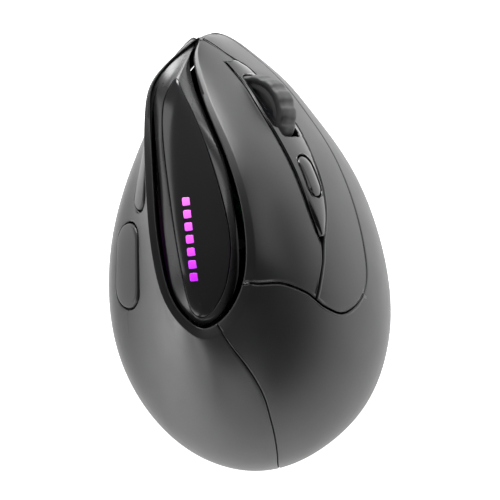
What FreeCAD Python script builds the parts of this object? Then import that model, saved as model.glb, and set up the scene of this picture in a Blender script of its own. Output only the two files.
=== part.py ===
import FreeCAD, Part
import math
import os
import re

import Sketcher
from FreeCAD import Matrix, Placement, Rotation, Vector

# A right-handed vertical mouse. +Y is the front, +X the finger side, +Z up, and the
# origin lies under the middle of the body on the surface that the mouse stands on.
doc = FreeCAD.newDocument("vertical_mouse")

SIZES = [
    ("body_width", 78.1, "widest, across the shells"),
    ("body_length", 120.6, "nose to tail"),
    ("ridge_height", 66.0, "top of the ridge above the desk"),
    ("shell_wall", 1.8, "wall of the shells and button plates"),
    ("button_gap", 0.5, "gap round the two main buttons"),
    ("seam_gap", 0.2, "gap between fixed covers"),
    ("shell_tuck", 2.5, "how far the shells draw in at the desk"),
    ("shell_lift", 1.0, "lower edge of the shells above the desk"),
    ("base_lift", 0.5, "underside of the base above the desk"),
    ("base_wall", 2.0, "base plate"),
    ("base_gap", 0.5, "gap between the base plate and the shells"),
    ("foot_thickness", 0.8, "glide foot"),
    ("foot_width", 7.0, "glide foot across"),
    ("front_foot_length", 18.0, "front glide foot"),
    ("rear_foot_length", 24.0, "rear glide feet"),
    ("foot_gap", 0.25, "glide foot to its recess"),
    ("ring_thickness", 1.4, "glossy ring round the window"),
    ("window_thickness", 1.0, "smoked window"),
    ("tray_thickness", 1.4, "tray under the ring"),
    ("tray_gap", 0.25, "tray to what holds it"),
    ("wheel_diameter", 22.0, "over the tread"),
    ("wheel_width", 7.0, "tread width"),
    ("tyre_thickness", 2.4, "rubber tread"),
    ("tread_groove", 1.7, "width of a tread groove"),
    ("groove_depth", 0.8, "depth of a tread groove"),
    ("wheel_proud", 5.5, "wheel above the island"),
    ("wheel_clearance", 0.45, "wheel to the cradle and the slot"),
    ("wheel_press", 0.5, "travel of the pressed wheel"),
    ("axle_radius", 1.25, "wheel axle and hinge pin"),
    ("axle_clearance", 0.05, "running fit of the axle and the pin"),
    ("cradle_arm", 1.5, "thickness of a cradle arm"),
    ("cradle_length", 7.0, "cradle arm along the mouse"),
    ("board_thickness", 1.2, "circuit boards"),
    ("board_depth", 15.0, "button board below the face"),
    ("deck_thickness", 1.8, "deck of the inner frame"),
    ("deck_gap", 0.8, "pads between the deck and the button board"),
    ("leg_radius", 3.0, "legs of the inner frame"),
    ("hinge_depth", 16.2, "button hinge below the face"),
    ("hinge_setback", 30.0, "button hinge behind the face centre"),
    ("hinge_eye", 2.6, "radius of a hinge eye"),
    ("lug_width", 2.8, "hinge lugs across"),
    ("switch_length", 12.8, "micro switch"),
    ("switch_width", 5.8, "micro switch"),
    ("switch_height", 6.5, "micro switch"),
    ("plunger_radius", 0.9, "switch plunger"),
    ("plunger_proud", 0.9, "plunger above its switch"),
    ("plunger_gap", 0.35, "plunger to its bore"),
    ("stem_radius", 1.3, "stems of the buttons"),
    ("tact_side", 6.0, "small tact switch"),
    ("tact_height", 3.1, "small tact switch"),
    ("dpi_length", 11.4, "resolution button"),
    ("dpi_width", 5.8, "resolution button"),
    ("dpi_proud", 0.35, "resolution button above the island"),
    ("side_rear_length", 23.0, "rear side button"),
    ("side_front_length", 20.0, "front side button"),
    ("side_rear_width", 10.4, "rear side button across"),
    ("side_front_width", 7.6, "front side button across"),
    ("side_proud", 0.6, "side buttons above the shell"),
    ("side_gap", 0.45, "gap round the side buttons and the resolution button"),
    ("side_depth", 9.0, "side board below the thumb slope"),
    ("encoder_length", 9.0, "wheel encoder"),
    ("encoder_width", 4.8, "wheel encoder"),
    ("main_board_length", 34.0, "main board behind its neck"),
    ("main_board_width", 21.0, "main board"),
    ("board_neck_length", 22.0, "neck of the main board to the charging socket"),
    ("board_neck_width", 8.6, "neck of the main board"),
    ("main_board_lift", 3.5, "main board above the base floor"),
    ("battery_length", 32.0, "battery along the mouse"),
    ("battery_width", 34.0, "battery across"),
    ("battery_height", 7.0, "battery"),
    ("battery_pad", 0.7, "foam under the battery"),
    ("port_width", 9.0, "charging socket"),
    ("port_height", 3.2, "charging socket"),
    ("port_length", 7.3, "charging socket"),
    ("port_skin", 0.35, "sheet of the charging socket"),
    ("port_gap", 0.35, "charging socket to the shell"),
    ("sensor_side", 10.0, "motion sensor"),
    ("sensor_height", 2.6, "motion sensor"),
    ("knob_width", 3.0, "power knob"),
    ("knob_length", 3.4, "power knob"),
    ("knob_travel", 2.4, "travel of the power knob"),
    ("case_screw_radius", 1.0, "case screws"),
    ("case_screw_length", 7.0, "case screws"),
    ("case_head_radius", 2.0, "case screws"),
    ("case_head_height", 1.0, "case screws"),
    ("small_screw_radius", 0.7, "board screws"),
    ("small_screw_length", 3.0, "board screws"),
    ("small_head_radius", 1.5, "board screws"),
    ("small_head_height", 0.8, "board screws"),
    ("screw_clearance", 0.05, "screw to its hole"),
    ("post_radius", 2.6, "screw posts of the shells"),
    ("post_height", 9.5, "screw posts of the shells"),
    ("post_inset", 6.4, "screw posts from the outside of the shells"),
    ("glow_bar_length", 2.1, "one bar of the light guide"),
    ("glow_bar_width", 3.2, "one bar of the light guide"),
    ("glow_pitch", 3.2, "pitch of the bars"),
    ("cable_width", 8.0, "flat cable"),
    ("cable_thickness", 0.3, "flat cable"),
]

sheet = doc.addObject("Spreadsheet::Sheet", "Sizes")
for row, (name, number, note) in enumerate(SIZES, start=1):
    sheet.set("A%d" % row, name)
    sheet.set("B%d" % row, str(number))
    sheet.set("C%d" % row, note)
    sheet.setAlias("B%d" % row, name)
doc.recompute()


def bound(text):
    """Turn the size names in a formula into references to the sheet."""
    return re.sub(r"[a-z]+(?:_[a-z]+)+", r"Sizes.\g<0>", text)


def value(text):
    """The number that a formula of size names stands for."""
    return float(sheet.evalExpression(bound(text)))


NODES = {}


def node(piece):
    """Keep a finished sub-part under its own name."""
    NODES[piece.Label] = piece
    return piece


def feature(name, shape, place=None):
    """A piece whose shape is a free form."""
    piece = doc.addObject("Part::Feature", name)
    piece.Shape = shape
    if place is not None:
        piece.Placement = place
    return piece


def block(name, frame, low, high):
    """A box between two corners of a frame, each coordinate a formula."""
    box = doc.addObject("Part::Box", name)
    for side, start, end in zip(("Length", "Width", "Height"), low, high):
        box.setExpression(side, bound("(%s) - (%s)" % (end, start)))
    corner = Vector(*[value(start) for start in low])
    box.Placement = frame.multiply(Placement(corner, Rotation()))
    return box


def rod(name, frame, foot, axis, radius, length):
    """A cylinder from a foot point along an axis of a frame."""
    cylinder = doc.addObject("Part::Cylinder", name)
    cylinder.setExpression("Radius", bound(radius))
    cylinder.setExpression("Height", bound(length))
    start = Vector(*[value(part) for part in foot])
    turn = Rotation(Vector(0, 0, 1), Vector(*axis))
    cylinder.Placement = frame.multiply(Placement(start, turn))
    return cylinder


def fuse(name, pieces):
    """Join overlapping pieces into one."""
    joined = doc.addObject("Part::MultiFuse", name)
    joined.Shapes = pieces
    return joined


def cut(name, base, tools):
    """Take tools away from a base."""
    result = doc.addObject("Part::Cut", name)
    result.Base = base
    result.Tool = tools[0] if len(tools) == 1 else fuse(name + "_tools", tools)
    return result


def common(name, first, second):
    """Keep what two pieces share."""
    result = doc.addObject("Part::Common", name)
    result.Base = first
    result.Tool = second
    return result


def stadium(name, frame, centre, length, width, low, high):
    """A bar with round ends, lying along the first axis of a frame."""
    x, y = [value(part) for part in centre]
    half = "((%s) - (%s)) / 2" % (length, width)
    place = frame.multiply(Placement(Vector(x, y, 0), Rotation()))
    bar = block(name + "_bar", place, ("-" + half, "-(%s) / 2" % width, low),
                (half, "(%s) / 2" % width, high))
    height = "(%s) - (%s)" % (high, low)
    ends = [rod(name + "_end%d" % side, place, ("%d * %s" % (side, half), "0", low), (0, 0, 1),
                "(%s) / 2" % width, height) for side in (-1, 1)]
    return fuse(name, [bar] + ends)


# Stations round the body, one every half hour of a clock whose twelve is the nose and whose
# three is the finger side. Each holds the widest outline (x, y), the flange edge round the
# top (x, y, z), how deep the thumb scoop is from 0 to 1, the flange width, the distance from
# the flange edge to the glossy ring, and the outline of the window (x, y, z).
STATIONS = [
    (-10.9, 60.3, -13.0, 56.5, 42.0, 0.35, 0.3, 1.0, -18.7, 44.9, 50.4),
    (-3.6, 59.2, -13.7, 52.1, 45.0, 0.0, 1.4, 2.4, -17.4, 41.8, 51.6),
    (3.7, 53.6, -12.3, 46.0, 49.0, 0.0, 1.3, 3.4, -15.8, 38.7, 53.3),
    (10.8, 47.1, -9.6, 37.7, 54.5, 0.0, 1.3, 2.9, -14.0, 34.8, 55.6),
    (17.5, 38.9, -5.7, 29.0, 59.5, 0.0, 1.4, 2.9, -11.3, 28.1, 59.5),
    (24.0, 30.5, -2.4, 20.3, 63.5, 0.0, 1.8, 3.4, -8.9, 20.9, 63.5),
    (29.6, 21.5, -0.2, 12.0, 65.5, 0.0, 2.0, 4.1, -6.7, 13.3, 65.5),
    (34.1, 11.1, 1.1, 4.0, 66.0, 0.0, 2.2, 4.3, -5.1, 6.2, 66.0),
    (37.7, -1.5, 1.3, -2.3, 65.5, 0.0, 2.3, 4.3, -4.7, 0.7, 65.5),
    (39.4, -15.6, 0.6, -8.0, 64.0, 0.0, 2.4, 4.1, -5.2, -4.8, 64.0),
    (37.4, -30.7, -1.2, -13.3, 62.5, 0.0, 2.6, 4.1, -6.5, -9.9, 62.5),
    (29.3, -46.8, -3.7, -17.4, 61.0, 0.0, 2.8, 4.0, -8.8, -13.9, 61.0),
    (9.9, -60.0, -7.0, -20.2, 59.5, 0.0, 2.7, 3.7, -10.8, -16.0, 59.5),
    (-9.8, -58.6, -11.6, -21.8, 58.2, 0.05, 2.5, 3.3, -13.1, -16.2, 58.2),
    (-24.9, -48.4, -15.6, -20.0, 57.6, 0.3, 2.3, 2.8, -15.2, -14.0, 57.6),
    (-34.8, -33.5, -19.9, -15.5, 57.7, 0.65, 2.0, 2.4, -16.6, -7.9, 57.7),
    (-39.0, -17.8, -23.0, -8.9, 58.3, 0.9, 1.7, 2.1, -18.0, -0.8, 58.3),
    (-39.3, -2.6, -24.7, -0.8, 59.0, 1.0, 1.3, 2.0, -19.2, 6.3, 59.0),
    (-37.3, 10.3, -25.7, 6.8, 59.5, 1.0, 1.1, 2.1, -20.2, 13.4, 59.5),
    (-33.6, 22.1, -26.3, 15.9, 59.0, 1.0, 1.1, 2.1, -21.2, 20.5, 59.0),
    (-28.9, 33.3, -26.8, 26.1, 57.5, 1.0, 1.1, 1.9, -22.0, 27.4, 57.5),
    (-24.4, 42.9, -26.7, 35.9, 54.5, 0.95, 1.0, 1.6, -22.4, 34.0, 54.9),
    (-19.6, 50.2, -25.5, 43.3, 51.5, 0.85, 0.7, 1.4, -21.9, 39.1, 53.3),
    (-14.5, 55.8, -20.6, 49.8, 47.5, 0.65, 0.4, 1.2, -20.6, 42.2, 51.8),
]
MEASURED_WIDTH = 78.1
MEASURED_LENGTH = 120.6
MEASURED_RIDGE = 66.0
COUNT = len(STATIONS)
HOURS = 12.0 / COUNT
RISE_KNOTS = [0.0, 0.25, 0.5, 0.75, 1.0]
RISE_MIDDLES = [0.0, 1 / 12.0, 0.25, 0.5, 0.75, 11 / 12.0, 1.0]
WIDE = value("body_width") / MEASURED_WIDTH
LONG = value("body_length") / MEASURED_LENGTH
TALL = value("ridge_height") / MEASURED_RIDGE
WALL = value("shell_wall")


def plan(x, y, z=0.0):
    """A measured point in the model's size."""
    return Vector(x * WIDE, y * LONG, z * TALL)


def blend(first, second, share):
    return first * (1.0 - share) + second * share


def flat(vector):
    return Vector(vector.x, vector.y, 0)


def inward(points):
    """Mitred inward directions of a closed outline that runs clockwise in plan."""
    result = []
    for index, point in enumerate(points):
        normals = []
        for start, end in ((points[index - 1], point), (point, points[(index + 1) % COUNT])):
            step = flat(end - start).normalize()
            normals.append(Vector(step.y, -step.x, 0))
        first, second = normals
        result.append((first + second) * (1.0 / (1.0 + first.dot(second))))
    return result


def poles(points):
    """Control points of a closed cubic that runs through its stations."""
    return [point - (points[i - 1] - point * 2 + points[(i + 1) % COUNT]) * (1 / 6.0)
            for i, point in enumerate(points)]


def skin(rows):
    """A closed surface round the body through rows of control points, lowest row first."""
    degree = {2: 1, 3: 2, 7: 3}[len(rows)]
    knots = RISE_KNOTS if len(rows) == 7 else [0.0, 1.0]
    repeats = [degree + 1] + [1] * (len(knots) - 2) + [degree + 1]
    grid = [[row[i - 1] for row in rows] for i in range(COUNT)]
    surface = Part.BSplineSurface()
    surface.buildFromPolesMultsKnots(grid, [1] * (COUNT + 1), repeats,
                                     [i * HOURS for i in range(COUNT + 1)], knots,
                                     True, False, 3, degree)
    return surface


def closed_solid(surfaces):
    """One solid from surfaces that meet along their edges."""
    shell = Part.makeShell([surface.toShape() for surface in surfaces])
    shell.sewShape()
    solid = Part.makeSolid(shell)
    if solid.Volume < 0:
        solid.reverse()
    return solid


OUTLINE = [plan(s[0], s[1]) for s in STATIONS]
FLANGE = [plan(s[2], s[3], s[4]) for s in STATIONS]
SCOOP = [s[5] for s in STATIONS]
FLANGE_WIDTH = [s[6] for s in STATIONS]
RING_OFFSET = [s[7] for s in STATIONS]
WINDOW = [plan(s[8], s[9], s[10]) for s in STATIONS]
FLANGE_INWARD = inward(FLANGE)


def side_rows():
    """Rows of control points of the body's side, from the desk to the flange edge."""
    rows = [[] for _ in RISE_MIDDLES]
    tuck = value("shell_tuck")
    lift = value("shell_lift")
    for base, edge, scoop in zip(OUTLINE, FLANGE, SCOOP):
        reach = flat(edge - base)
        step = Vector(reach).normalize()
        top = edge.z
        levels = [
            (step * tuck, lift),
            (step * 0.15, lift + 0.8),
            (Vector(), (13.0 + scoop) * TALL),
            (reach * (0.12 + 0.33 * scoop), 0.45 * top * (1 - scoop) + 19.5 * TALL * scoop),
            (reach * (0.46 + 0.64 * scoop), 0.79 * top * (1 - scoop) + 36.0 * TALL * scoop),
            (reach * (0.80 + 0.26 * scoop), top - (2.5 + 7.5 * scoop) * TALL),
            (reach, top),
        ]
        for row, (shift, height) in zip(rows, levels):
            row.append(base + shift + Vector(0, 0, height))
    return [poles(row) for row in rows]


SIDE_ROWS = side_rows()
SIDE_SKIN = skin(SIDE_ROWS)


def on_side(clock, rise):
    """A point of the body's side."""
    return SIDE_SKIN.value(clock % 12.0, rise)


def outward(clock, rise):
    """The outward direction of the body's side."""
    return Vector(SIDE_SKIN.normal(clock % 12.0, rise)) * -1.0


def down(points, depth):
    return [point - Vector(0, 0, depth) for point in points]


# The shells and button plates start as one thin-walled hull with an inward flange.
inner_rows = []
for row, rise in zip(SIDE_ROWS, RISE_MIDDLES):
    inner_rows.append([point - outward(i * HOURS, rise) * WALL for i, point in enumerate(row)])
corner_row = []
for i, point in enumerate(SIDE_ROWS[-1]):
    normal = outward(i * HOURS, 1.0)
    up = Vector(0, 0, 1)
    corner_row.append(point - (normal + up) * (WALL / (1.0 + normal.dot(up))))
inner_rows[-1] = corner_row
# The nose narrows to a blade, so there the inside keeps back along the blade's own line.
TIP_SHARE = [0.0, 0.0, 0.0, 0.15, 0.4, 0.8, 1.0]
for row, inner, share in zip(SIDE_ROWS, inner_rows, TIP_SHARE):
    tip = row[0] + (FLANGE_INWARD[0] - Vector(0, 0, 1)) * (0.9 * WALL)
    inner[0] = blend(inner[0], tip, share)
flange_inner = [edge + side * width for edge, side, width
                in zip(FLANGE, FLANGE_INWARD, FLANGE_WIDTH)]
flange_under = [edge + side * max(width, WALL + 0.1) for edge, side, width
                in zip(FLANGE, FLANGE_INWARD, FLANGE_WIDTH)]
hull = closed_solid([
    SIDE_SKIN,
    skin([SIDE_ROWS[-1], poles(flange_inner)]),
    skin([poles(flange_inner), poles(down(flange_under, WALL))]),
    skin([poles(down(flange_under, WALL)), corner_row]),
    skin(inner_rows),
    skin([inner_rows[0], SIDE_ROWS[0]]),
])


def axes_frame(origin, forward, normal):
    """A frame whose third axis is a normal and whose first axis runs forward."""
    normal = Vector(normal).normalize()
    forward = (forward - normal * forward.dot(normal)).normalize()
    across = normal.cross(forward)
    matrix = Matrix(forward.x, across.x, normal.x, origin.x,
                    forward.y, across.y, normal.y, origin.y,
                    forward.z, across.z, normal.z, origin.z, 0, 0, 0, 1)
    return Placement(matrix)


# The finger face has its own frame: forward along the island, up the slope, and outward.
WORLD = Placement()
FACE = axes_frame(on_side(2.6, 0.72), on_side(1.2, 0.72) - on_side(3.6, 0.74), outward(2.6, 0.72))
# The thumb slope has one too: forward, down the slope, and outward.
THUMB = axes_frame(on_side(9.1, 0.5), on_side(10.0, 0.52) - on_side(8.2, 0.49),
                   outward(8.5, 0.5) + outward(9.7, 0.5))


def local(frame, point):
    return frame.inverse().multVec(point)


def surface_height(frame, x, y, height=0.0):
    """How high the body's side lies over a point of a frame, searched from a first height."""
    for _ in range(12):
        probe = frame.multVec(Vector(x, y, height))
        u, v = SIDE_SKIN.parameter(probe)
        height = local(frame, SIDE_SKIN.value(u, v)).z
    return height


# Seams are thin cutters along a line of points, square to a frame. Those that bound the main
# buttons run square to the finger face, so the plates move past their neighbours freely.
def seam(name, frame, points, gap, low, high):
    """A thin wall along points of a frame's plane, from one height to another."""
    sides = [[], []]
    for index, point in enumerate(points):
        before = points[max(index - 1, 0)]
        after = points[min(index + 1, len(points) - 1)]
        step = (after - before).normalize()
        normal = Vector(-step.y, step.x, 0) * (gap / 2.0)
        foot = point + Vector(0, 0, low)
        sides[0].append(foot + normal)
        sides[1].append(foot - normal)
    edges = []
    for side in sides:
        curve = Part.BSplineCurve()
        curve.interpolate(side)
        edges.append(curve.toShape())
    edges.append(Part.makeLine(sides[0][0], sides[1][0]))
    edges.append(Part.makeLine(sides[0][-1], sides[1][-1]))
    face = Part.Face(Part.Wire(Part.__sortEdges__(edges)))
    return feature(name, face.extrude(Vector(0, 0, high - low)), frame)


def on_face(places):
    """Points of the body's side, given by clock and rise, in the plane of the finger face."""
    return [flat(local(FACE, on_side(clock, rise))) for clock, rise in places]


def top_inside(clock, depth):
    """A point inside the flange edge, in the plane of the finger face."""
    step = clock / HOURS
    index = int(math.floor(step))
    share = step - index
    edge = blend(FLANGE[index % COUNT], FLANGE[(index + 1) % COUNT], share)
    way = blend(FLANGE_INWARD[index % COUNT], FLANGE_INWARD[(index + 1) % COUNT], share)
    return flat(local(FACE, edge + way * depth))


NOSE_AND_CREASE = [(0.72, 1.0), (0.6, 0.9), (0.45, 0.78), (0.32, 0.65), (0.26, 0.53), (0.4, 0.44),
                   (0.8, 0.41), (1.4, 0.42),
                   (2.22, 0.445), (3.04, 0.495), (3.75, 0.525), (4.14, 0.545), (4.37, 0.58),
                   (4.52, 0.625), (4.64, 0.69), (4.61, 0.76), (4.46, 0.838), (4.38, 0.92), (4.47, 0.99)]
ISLAND_LOWER = [(0.45, 0.84), (0.53, 0.81), (0.77, 0.753), (0.97, 0.70), (1.12, 0.655),
                (1.48, 0.63), (2.1, 0.62), (2.43, 0.635), (2.72, 0.655), (3.04, 0.675), (3.41, 0.71),
                (3.77, 0.758)]
ISLAND_UPPER = [(0.92, 0.806), (1.39, 0.782), (1.81, 0.785), (2.69, 0.785), (3.25, 0.783), (3.6, 0.772),
                (3.77, 0.762), (4.0, 0.77), (4.24, 0.787), (4.48, 0.805), (4.62, 0.81)]
FRONT_SEAM = [(0.8, 0.415), (0.8, 0.3), (0.8, 0.2), (0.8, 0.12), (0.8, 0.05), (0.8, 0.0)]
REAR_SEAM = [(5.99, 1.0), (5.88, 0.9), (5.87, 0.8), (5.93, 0.68), (6.0, 0.5), (6.04, 0.3)]
FACE_BELOW = -24.0
FACE_ABOVE = 14.0
button_gap = value("button_gap")
seam_gap = value("seam_gap")
nose_line = [top_inside(0.85, 5.0), top_inside(0.8, 2.5)] + on_face(NOSE_AND_CREASE)
nose_line += [top_inside(4.55, 3.0), top_inside(4.6, 4.5)]
lower_line = on_face(ISLAND_LOWER)
upper_line = on_face(ISLAND_UPPER)
front_edge = on_face([(0.97, 0.69), (0.95, 0.75), (0.92, 0.815)])
front_line = on_face(FRONT_SEAM)
front_line[-1] += (front_line[-1] - front_line[-2]).normalize() * 6
rear_line = [flat(on_side(clock, rise)) for clock, rise in REAR_SEAM]
rear_step = (rear_line[0] - rear_line[1]).normalize()
rear_line = [rear_line[0] + rear_step * 6] + rear_line
rear_line.append(rear_line[-1] + (rear_line[-1] - rear_line[-2]).normalize() * 14)
seams = [
    seam("nose_seam", FACE, nose_line, button_gap, FACE_BELOW, FACE_ABOVE),
    seam("lower_seam", FACE, lower_line, button_gap, FACE_BELOW, FACE_ABOVE),
    seam("upper_seam", FACE, upper_line, button_gap, FACE_BELOW, FACE_ABOVE),
    seam("island_seam", FACE, front_edge, button_gap, FACE_BELOW, FACE_ABOVE),
    seam("front_seam", FACE, front_line, seam_gap, -45.0, FACE_ABOVE),
    seam("rear_seam", WORLD, rear_line, seam_gap, -5.0, value("ridge_height") + 5.0),
]
covers = hull.cut([wall.Shape for wall in seams]).Solids


def cover_at(clock, rise):
    """The cover that holds a place of the body's side."""
    inside = on_side(clock, rise) - outward(clock, rise) * (WALL / 2)
    return [cover for cover in covers if cover.isInside(inside, 1e-4, True)][0]


thumb_cover = feature("thumb_cover", cover_at(9.0, 0.5))
palm_cover = feature("palm_cover", cover_at(3.0, 0.2))
left_plate = feature("left_plate", cover_at(3.0, 0.9))
right_plate = feature("right_plate", cover_at(2.5, 0.57))
island_plate = feature("island_plate", cover_at(2.9, 0.72))


def halved_slab(skins):
    """A closed slab from the rows of its skins, each skin in a right and a left half."""
    surfaces = []
    for rows in skins:
        whole = skin(rows)
        for start, end in ((0.0, 6.0), (6.0, 12.0)):
            half = whole.copy()
            half.segment(start, end, 0.0, 1.0)
            surfaces.append(half)
    return closed_solid(surfaces)


def raised(points, height):
    return [point + Vector(0, 0, height) for point in points]


def inset(depths):
    return [edge + way * depth for edge, way, depth in zip(FLANGE, FLANGE_INWARD, depths)]


# The spine runs down the middle of the window.
SPINE_FRONT = plan(-18.4, 41.5)
SPINE_REAR = plan(-12.6, -13.0)
spine = []
for i in range(COUNT):
    other = (COUNT - i) % COUNT
    middle = (WINDOW[i].y + WINDOW[other].y) / 2
    share = (WINDOW[0].y - middle) / (WINDOW[0].y - WINDOW[COUNT // 2].y)
    point = blend(SPINE_FRONT, SPINE_REAR, share)
    spine.append(point + Vector(0, 0, (WINDOW[i].z + WINDOW[other].z) / 2))

# The glossy ring and the smoked window lie in a tray between the flanges.
RING_DROP = 0.7
WINDOW_DROP = 2.0
SPINE_DROP = 3.0
TRAY_EDGE_DROP = 3.6
TRAY_MIDDLE_DROP = 5.7
TRAY_SPINE_DROP = 7.7
ring_depth = value("ring_thickness")
window_depth = value("window_thickness")
tray_depth = value("tray_thickness")
tray_gap = value("tray_gap")
ring_outer = inset(RING_OFFSET)
# Near the nose the flange is thicker than it is wide, so the ring draws in below.
ring_lower = inset([max(offset, WALL + 0.5) for offset in RING_OFFSET])
ring_top = [poles(down(ring_outer, RING_DROP)), poles(down(WINDOW, WINDOW_DROP))]
ring_bottom = [poles(down(ring_lower, RING_DROP + ring_depth)),
               poles(down(WINDOW, WINDOW_DROP + ring_depth - 0.3))]
ring_walls = [[top, bottom] for top, bottom in zip(ring_top, ring_bottom)]
node(feature("bezel_ring", halved_slab([ring_top, ring_bottom] + ring_walls)))

window_edge = [blend(edge, middle, 0.03) for edge, middle in zip(WINDOW, spine)]
window_rows = [poles(down(window_edge, WINDOW_DROP + 0.1)), poles(down(spine, SPINE_DROP))]
window_under = [raised(row, -window_depth) for row in window_rows]
window_blank = feature("window_blank", halved_slab([window_rows, window_under,
                                                    [window_rows[0], window_under[0]]]))

tray_offsets = [max(offset - 0.3, WALL + 0.1 + 2 * tray_gap + 0.5 * scoop)
                for offset, scoop in zip(RING_OFFSET, SCOOP)]
tray_edge = down(inset(tray_offsets), TRAY_EDGE_DROP)
tray_middle = down(WINDOW, TRAY_MIDDLE_DROP)
# The tray ends behind the blade of the nose.
for index, share in ((0, 0.5), (1, 0.45), (COUNT - 1, 0.15)):
    tray_edge[index] = blend(tray_edge[index], tray_middle[index], share)
tray_rows = [poles(tray_edge), poles(tray_middle), poles(down(spine, TRAY_SPINE_DROP))]
tray_under = [raised(row, -tray_depth) for row in tray_rows]
node(feature("bezel_tray", halved_slab([tray_rows, tray_under, [tray_rows[0], tray_under[0]]])))

# A flexible light strip follows the underside of the window; its seven generic bars come up
# through the window, flush with its top.
GLOW_START = plan(-15.6, 14.4)
GLOW_END = plan(-13.4, -7.4)
GLOW_BARS = 7
window_bottom = skin(window_under)
strip_parts = []
bar_parts = []
bar_slots = []
for i in range(GLOW_BARS):
    spot = blend(GLOW_START, GLOW_END, 0.5) + Vector(0, 0, spine[0].z)
    along = (GLOW_START - GLOW_END).normalize()
    spot += along * ((i - (GLOW_BARS - 1) / 2.0) * value("glow_pitch"))
    for _ in range(8):
        u, v = window_bottom.parameter(spot)
        spot.z = window_bottom.value(u, v).z
    rise = Vector(window_bottom.normal(u, v))
    frame = axes_frame(spot, along, rise * math.copysign(1.0, rise.z))
    side = "glow_bar_width / 2"
    bar_parts.append(block("bar%d" % i, frame, ("-glow_bar_length / 2", "-" + side, "-1.1"),
                           ("glow_bar_length / 2", side, "window_thickness - 0.05")))
    bar_slots.append(block("bar_slot%d" % i, frame,
                           ("-glow_bar_length / 2 - 0.1", "-%s - 0.1" % side, "-1.5"),
                           ("glow_bar_length / 2 + 0.1", side + " + 0.1", "4")))
    bar_parts.append(block("bar_base%d" % i, frame, ("-glow_pitch / 2 - 0.1", "-" + side, "-1.6"),
                           ("glow_pitch / 2 + 0.1", side, "-1.0")))
    strip_parts.append(block("strip%d" % i, frame, ("-glow_pitch / 2 - 0.1", "-%s - 0.6" % side, "-2.1"),
                             ("glow_pitch / 2 + 0.1", side + " + 0.6", "-1.75")))
node(cut("bezel_window", window_blank, bar_slots))
node(fuse("light_guide", bar_parts))
node(fuse("light_strip", strip_parts))

# Wheel, its cradle and the encoder. The wheel turns about an axis up the finger slope.
WHEEL_AT = (17.0, -1.2)
wheel_depth = surface_height(FACE, *WHEEL_AT) + value("wheel_proud") - value("wheel_diameter / 2")
HUB = FACE.multiply(Placement(Vector(WHEEL_AT[0], WHEEL_AT[1], wheel_depth),
                              Rotation(Vector(0, 0, 1), Vector(0, 1, 0))))
AXLE_LOWER = "9.9"
AXLE_UPPER = "wheel_width / 2 + wheel_clearance + cradle_arm"


def plane_of(body, role="XY_Plane"):
    return [plane for plane in body.Origin.OriginFeatures if plane.Role == role][0]


def new_sketch(body, name):
    sketch = body.newObject("Sketcher::SketchObject", name)
    sketch.AttachmentSupport = [(plane_of(body), "")]
    sketch.MapMode = "FlatFace"
    return sketch


def bind(sketch, kind, places, formula):
    """Add one dimension to a sketch and tie it to the sheet."""
    index = sketch.addConstraint(Sketcher.Constraint(kind, *places, value(formula)))
    sketch.setExpression("Constraints[%d]" % index, bound(formula))


def put_point(sketch, shape, corner, x, y):
    """Hold a point of a sketch at a distance from the sketch's origin."""
    for kind, formula, axis in (("DistanceX", x, -2), ("DistanceY", y, -1)):
        if formula == "0":
            sketch.addConstraint(Sketcher.Constraint("PointOnObject", shape, corner, axis))
        else:
            bind(sketch, kind, (-1, 1, shape, corner), formula)


def rectangle(body, name, start, span):
    """A dimensioned rectangle from its lower left corner."""
    sketch = new_sketch(body, name)
    x, y = [value(part) for part in start]
    w, d = [value(part) for part in span]
    corners = [Vector(x, y, 0), Vector(x + w, y, 0), Vector(x + w, y + d, 0), Vector(x, y + d, 0)]
    for i in range(4):
        sketch.addGeometry(Part.LineSegment(corners[i], corners[(i + 1) % 4]), False)
    for i in range(4):
        sketch.addConstraint(Sketcher.Constraint("Coincident", i, 2, (i + 1) % 4, 1))
    for kind, line in (("Horizontal", 0), ("Horizontal", 2), ("Vertical", 1), ("Vertical", 3)):
        sketch.addConstraint(Sketcher.Constraint(kind, line))
    bind(sketch, "DistanceX", (0, 1, 0, 2), span[0])
    bind(sketch, "DistanceY", (1, 1, 1, 2), span[1])
    put_point(sketch, 0, 1, *start)
    return sketch


def circles(body, name, places):
    """Dimensioned circles, each a centre and a radius."""
    sketch = new_sketch(body, name)
    for index, (x, y, radius) in enumerate(places):
        centre = Vector(value(x), value(y), 0)
        sketch.addGeometry(Part.Circle(centre, Vector(0, 0, 1), value(radius)), False)
        bind(sketch, "Radius", (index,), radius)
        put_point(sketch, index, 3, x, y)
    return sketch


def pad(body, name, sketch, length):
    feature_pad = body.newObject("PartDesign::Pad", name)
    feature_pad.Profile = sketch
    feature_pad.setExpression("Length", bound(length))
    sketch.Visibility = False
    return feature_pad


def drill(body, name, sketch):
    """Cut a sketch through the whole body above its plane."""
    pocket = body.newObject("PartDesign::Pocket", name)
    pocket.Profile = sketch
    pocket.Type = 1
    pocket.Reversed = True
    return pocket


def board(name, frame, corner, plates, holes):
    """A circuit board of one or more rectangles with drilled holes."""
    body = doc.addObject("PartDesign::Body", name)
    for index, (start, span) in enumerate(plates):
        outline = rectangle(body, "%s_outline%d" % (name, index), start, span)
        pad(body, "%s_plate%d" % (name, index), outline, "board_thickness")
    doc.recompute()
    before = body.Shape.Volume
    drill(body, name + "_holes", circles(body, name + "_drills", holes))
    body.Placement = frame.multiply(Placement(Vector(*[value(part) for part in corner]), Rotation()))
    doc.recompute()
    assert body.Shape.Volume < before - 0.1, name
    return node(body)


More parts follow.
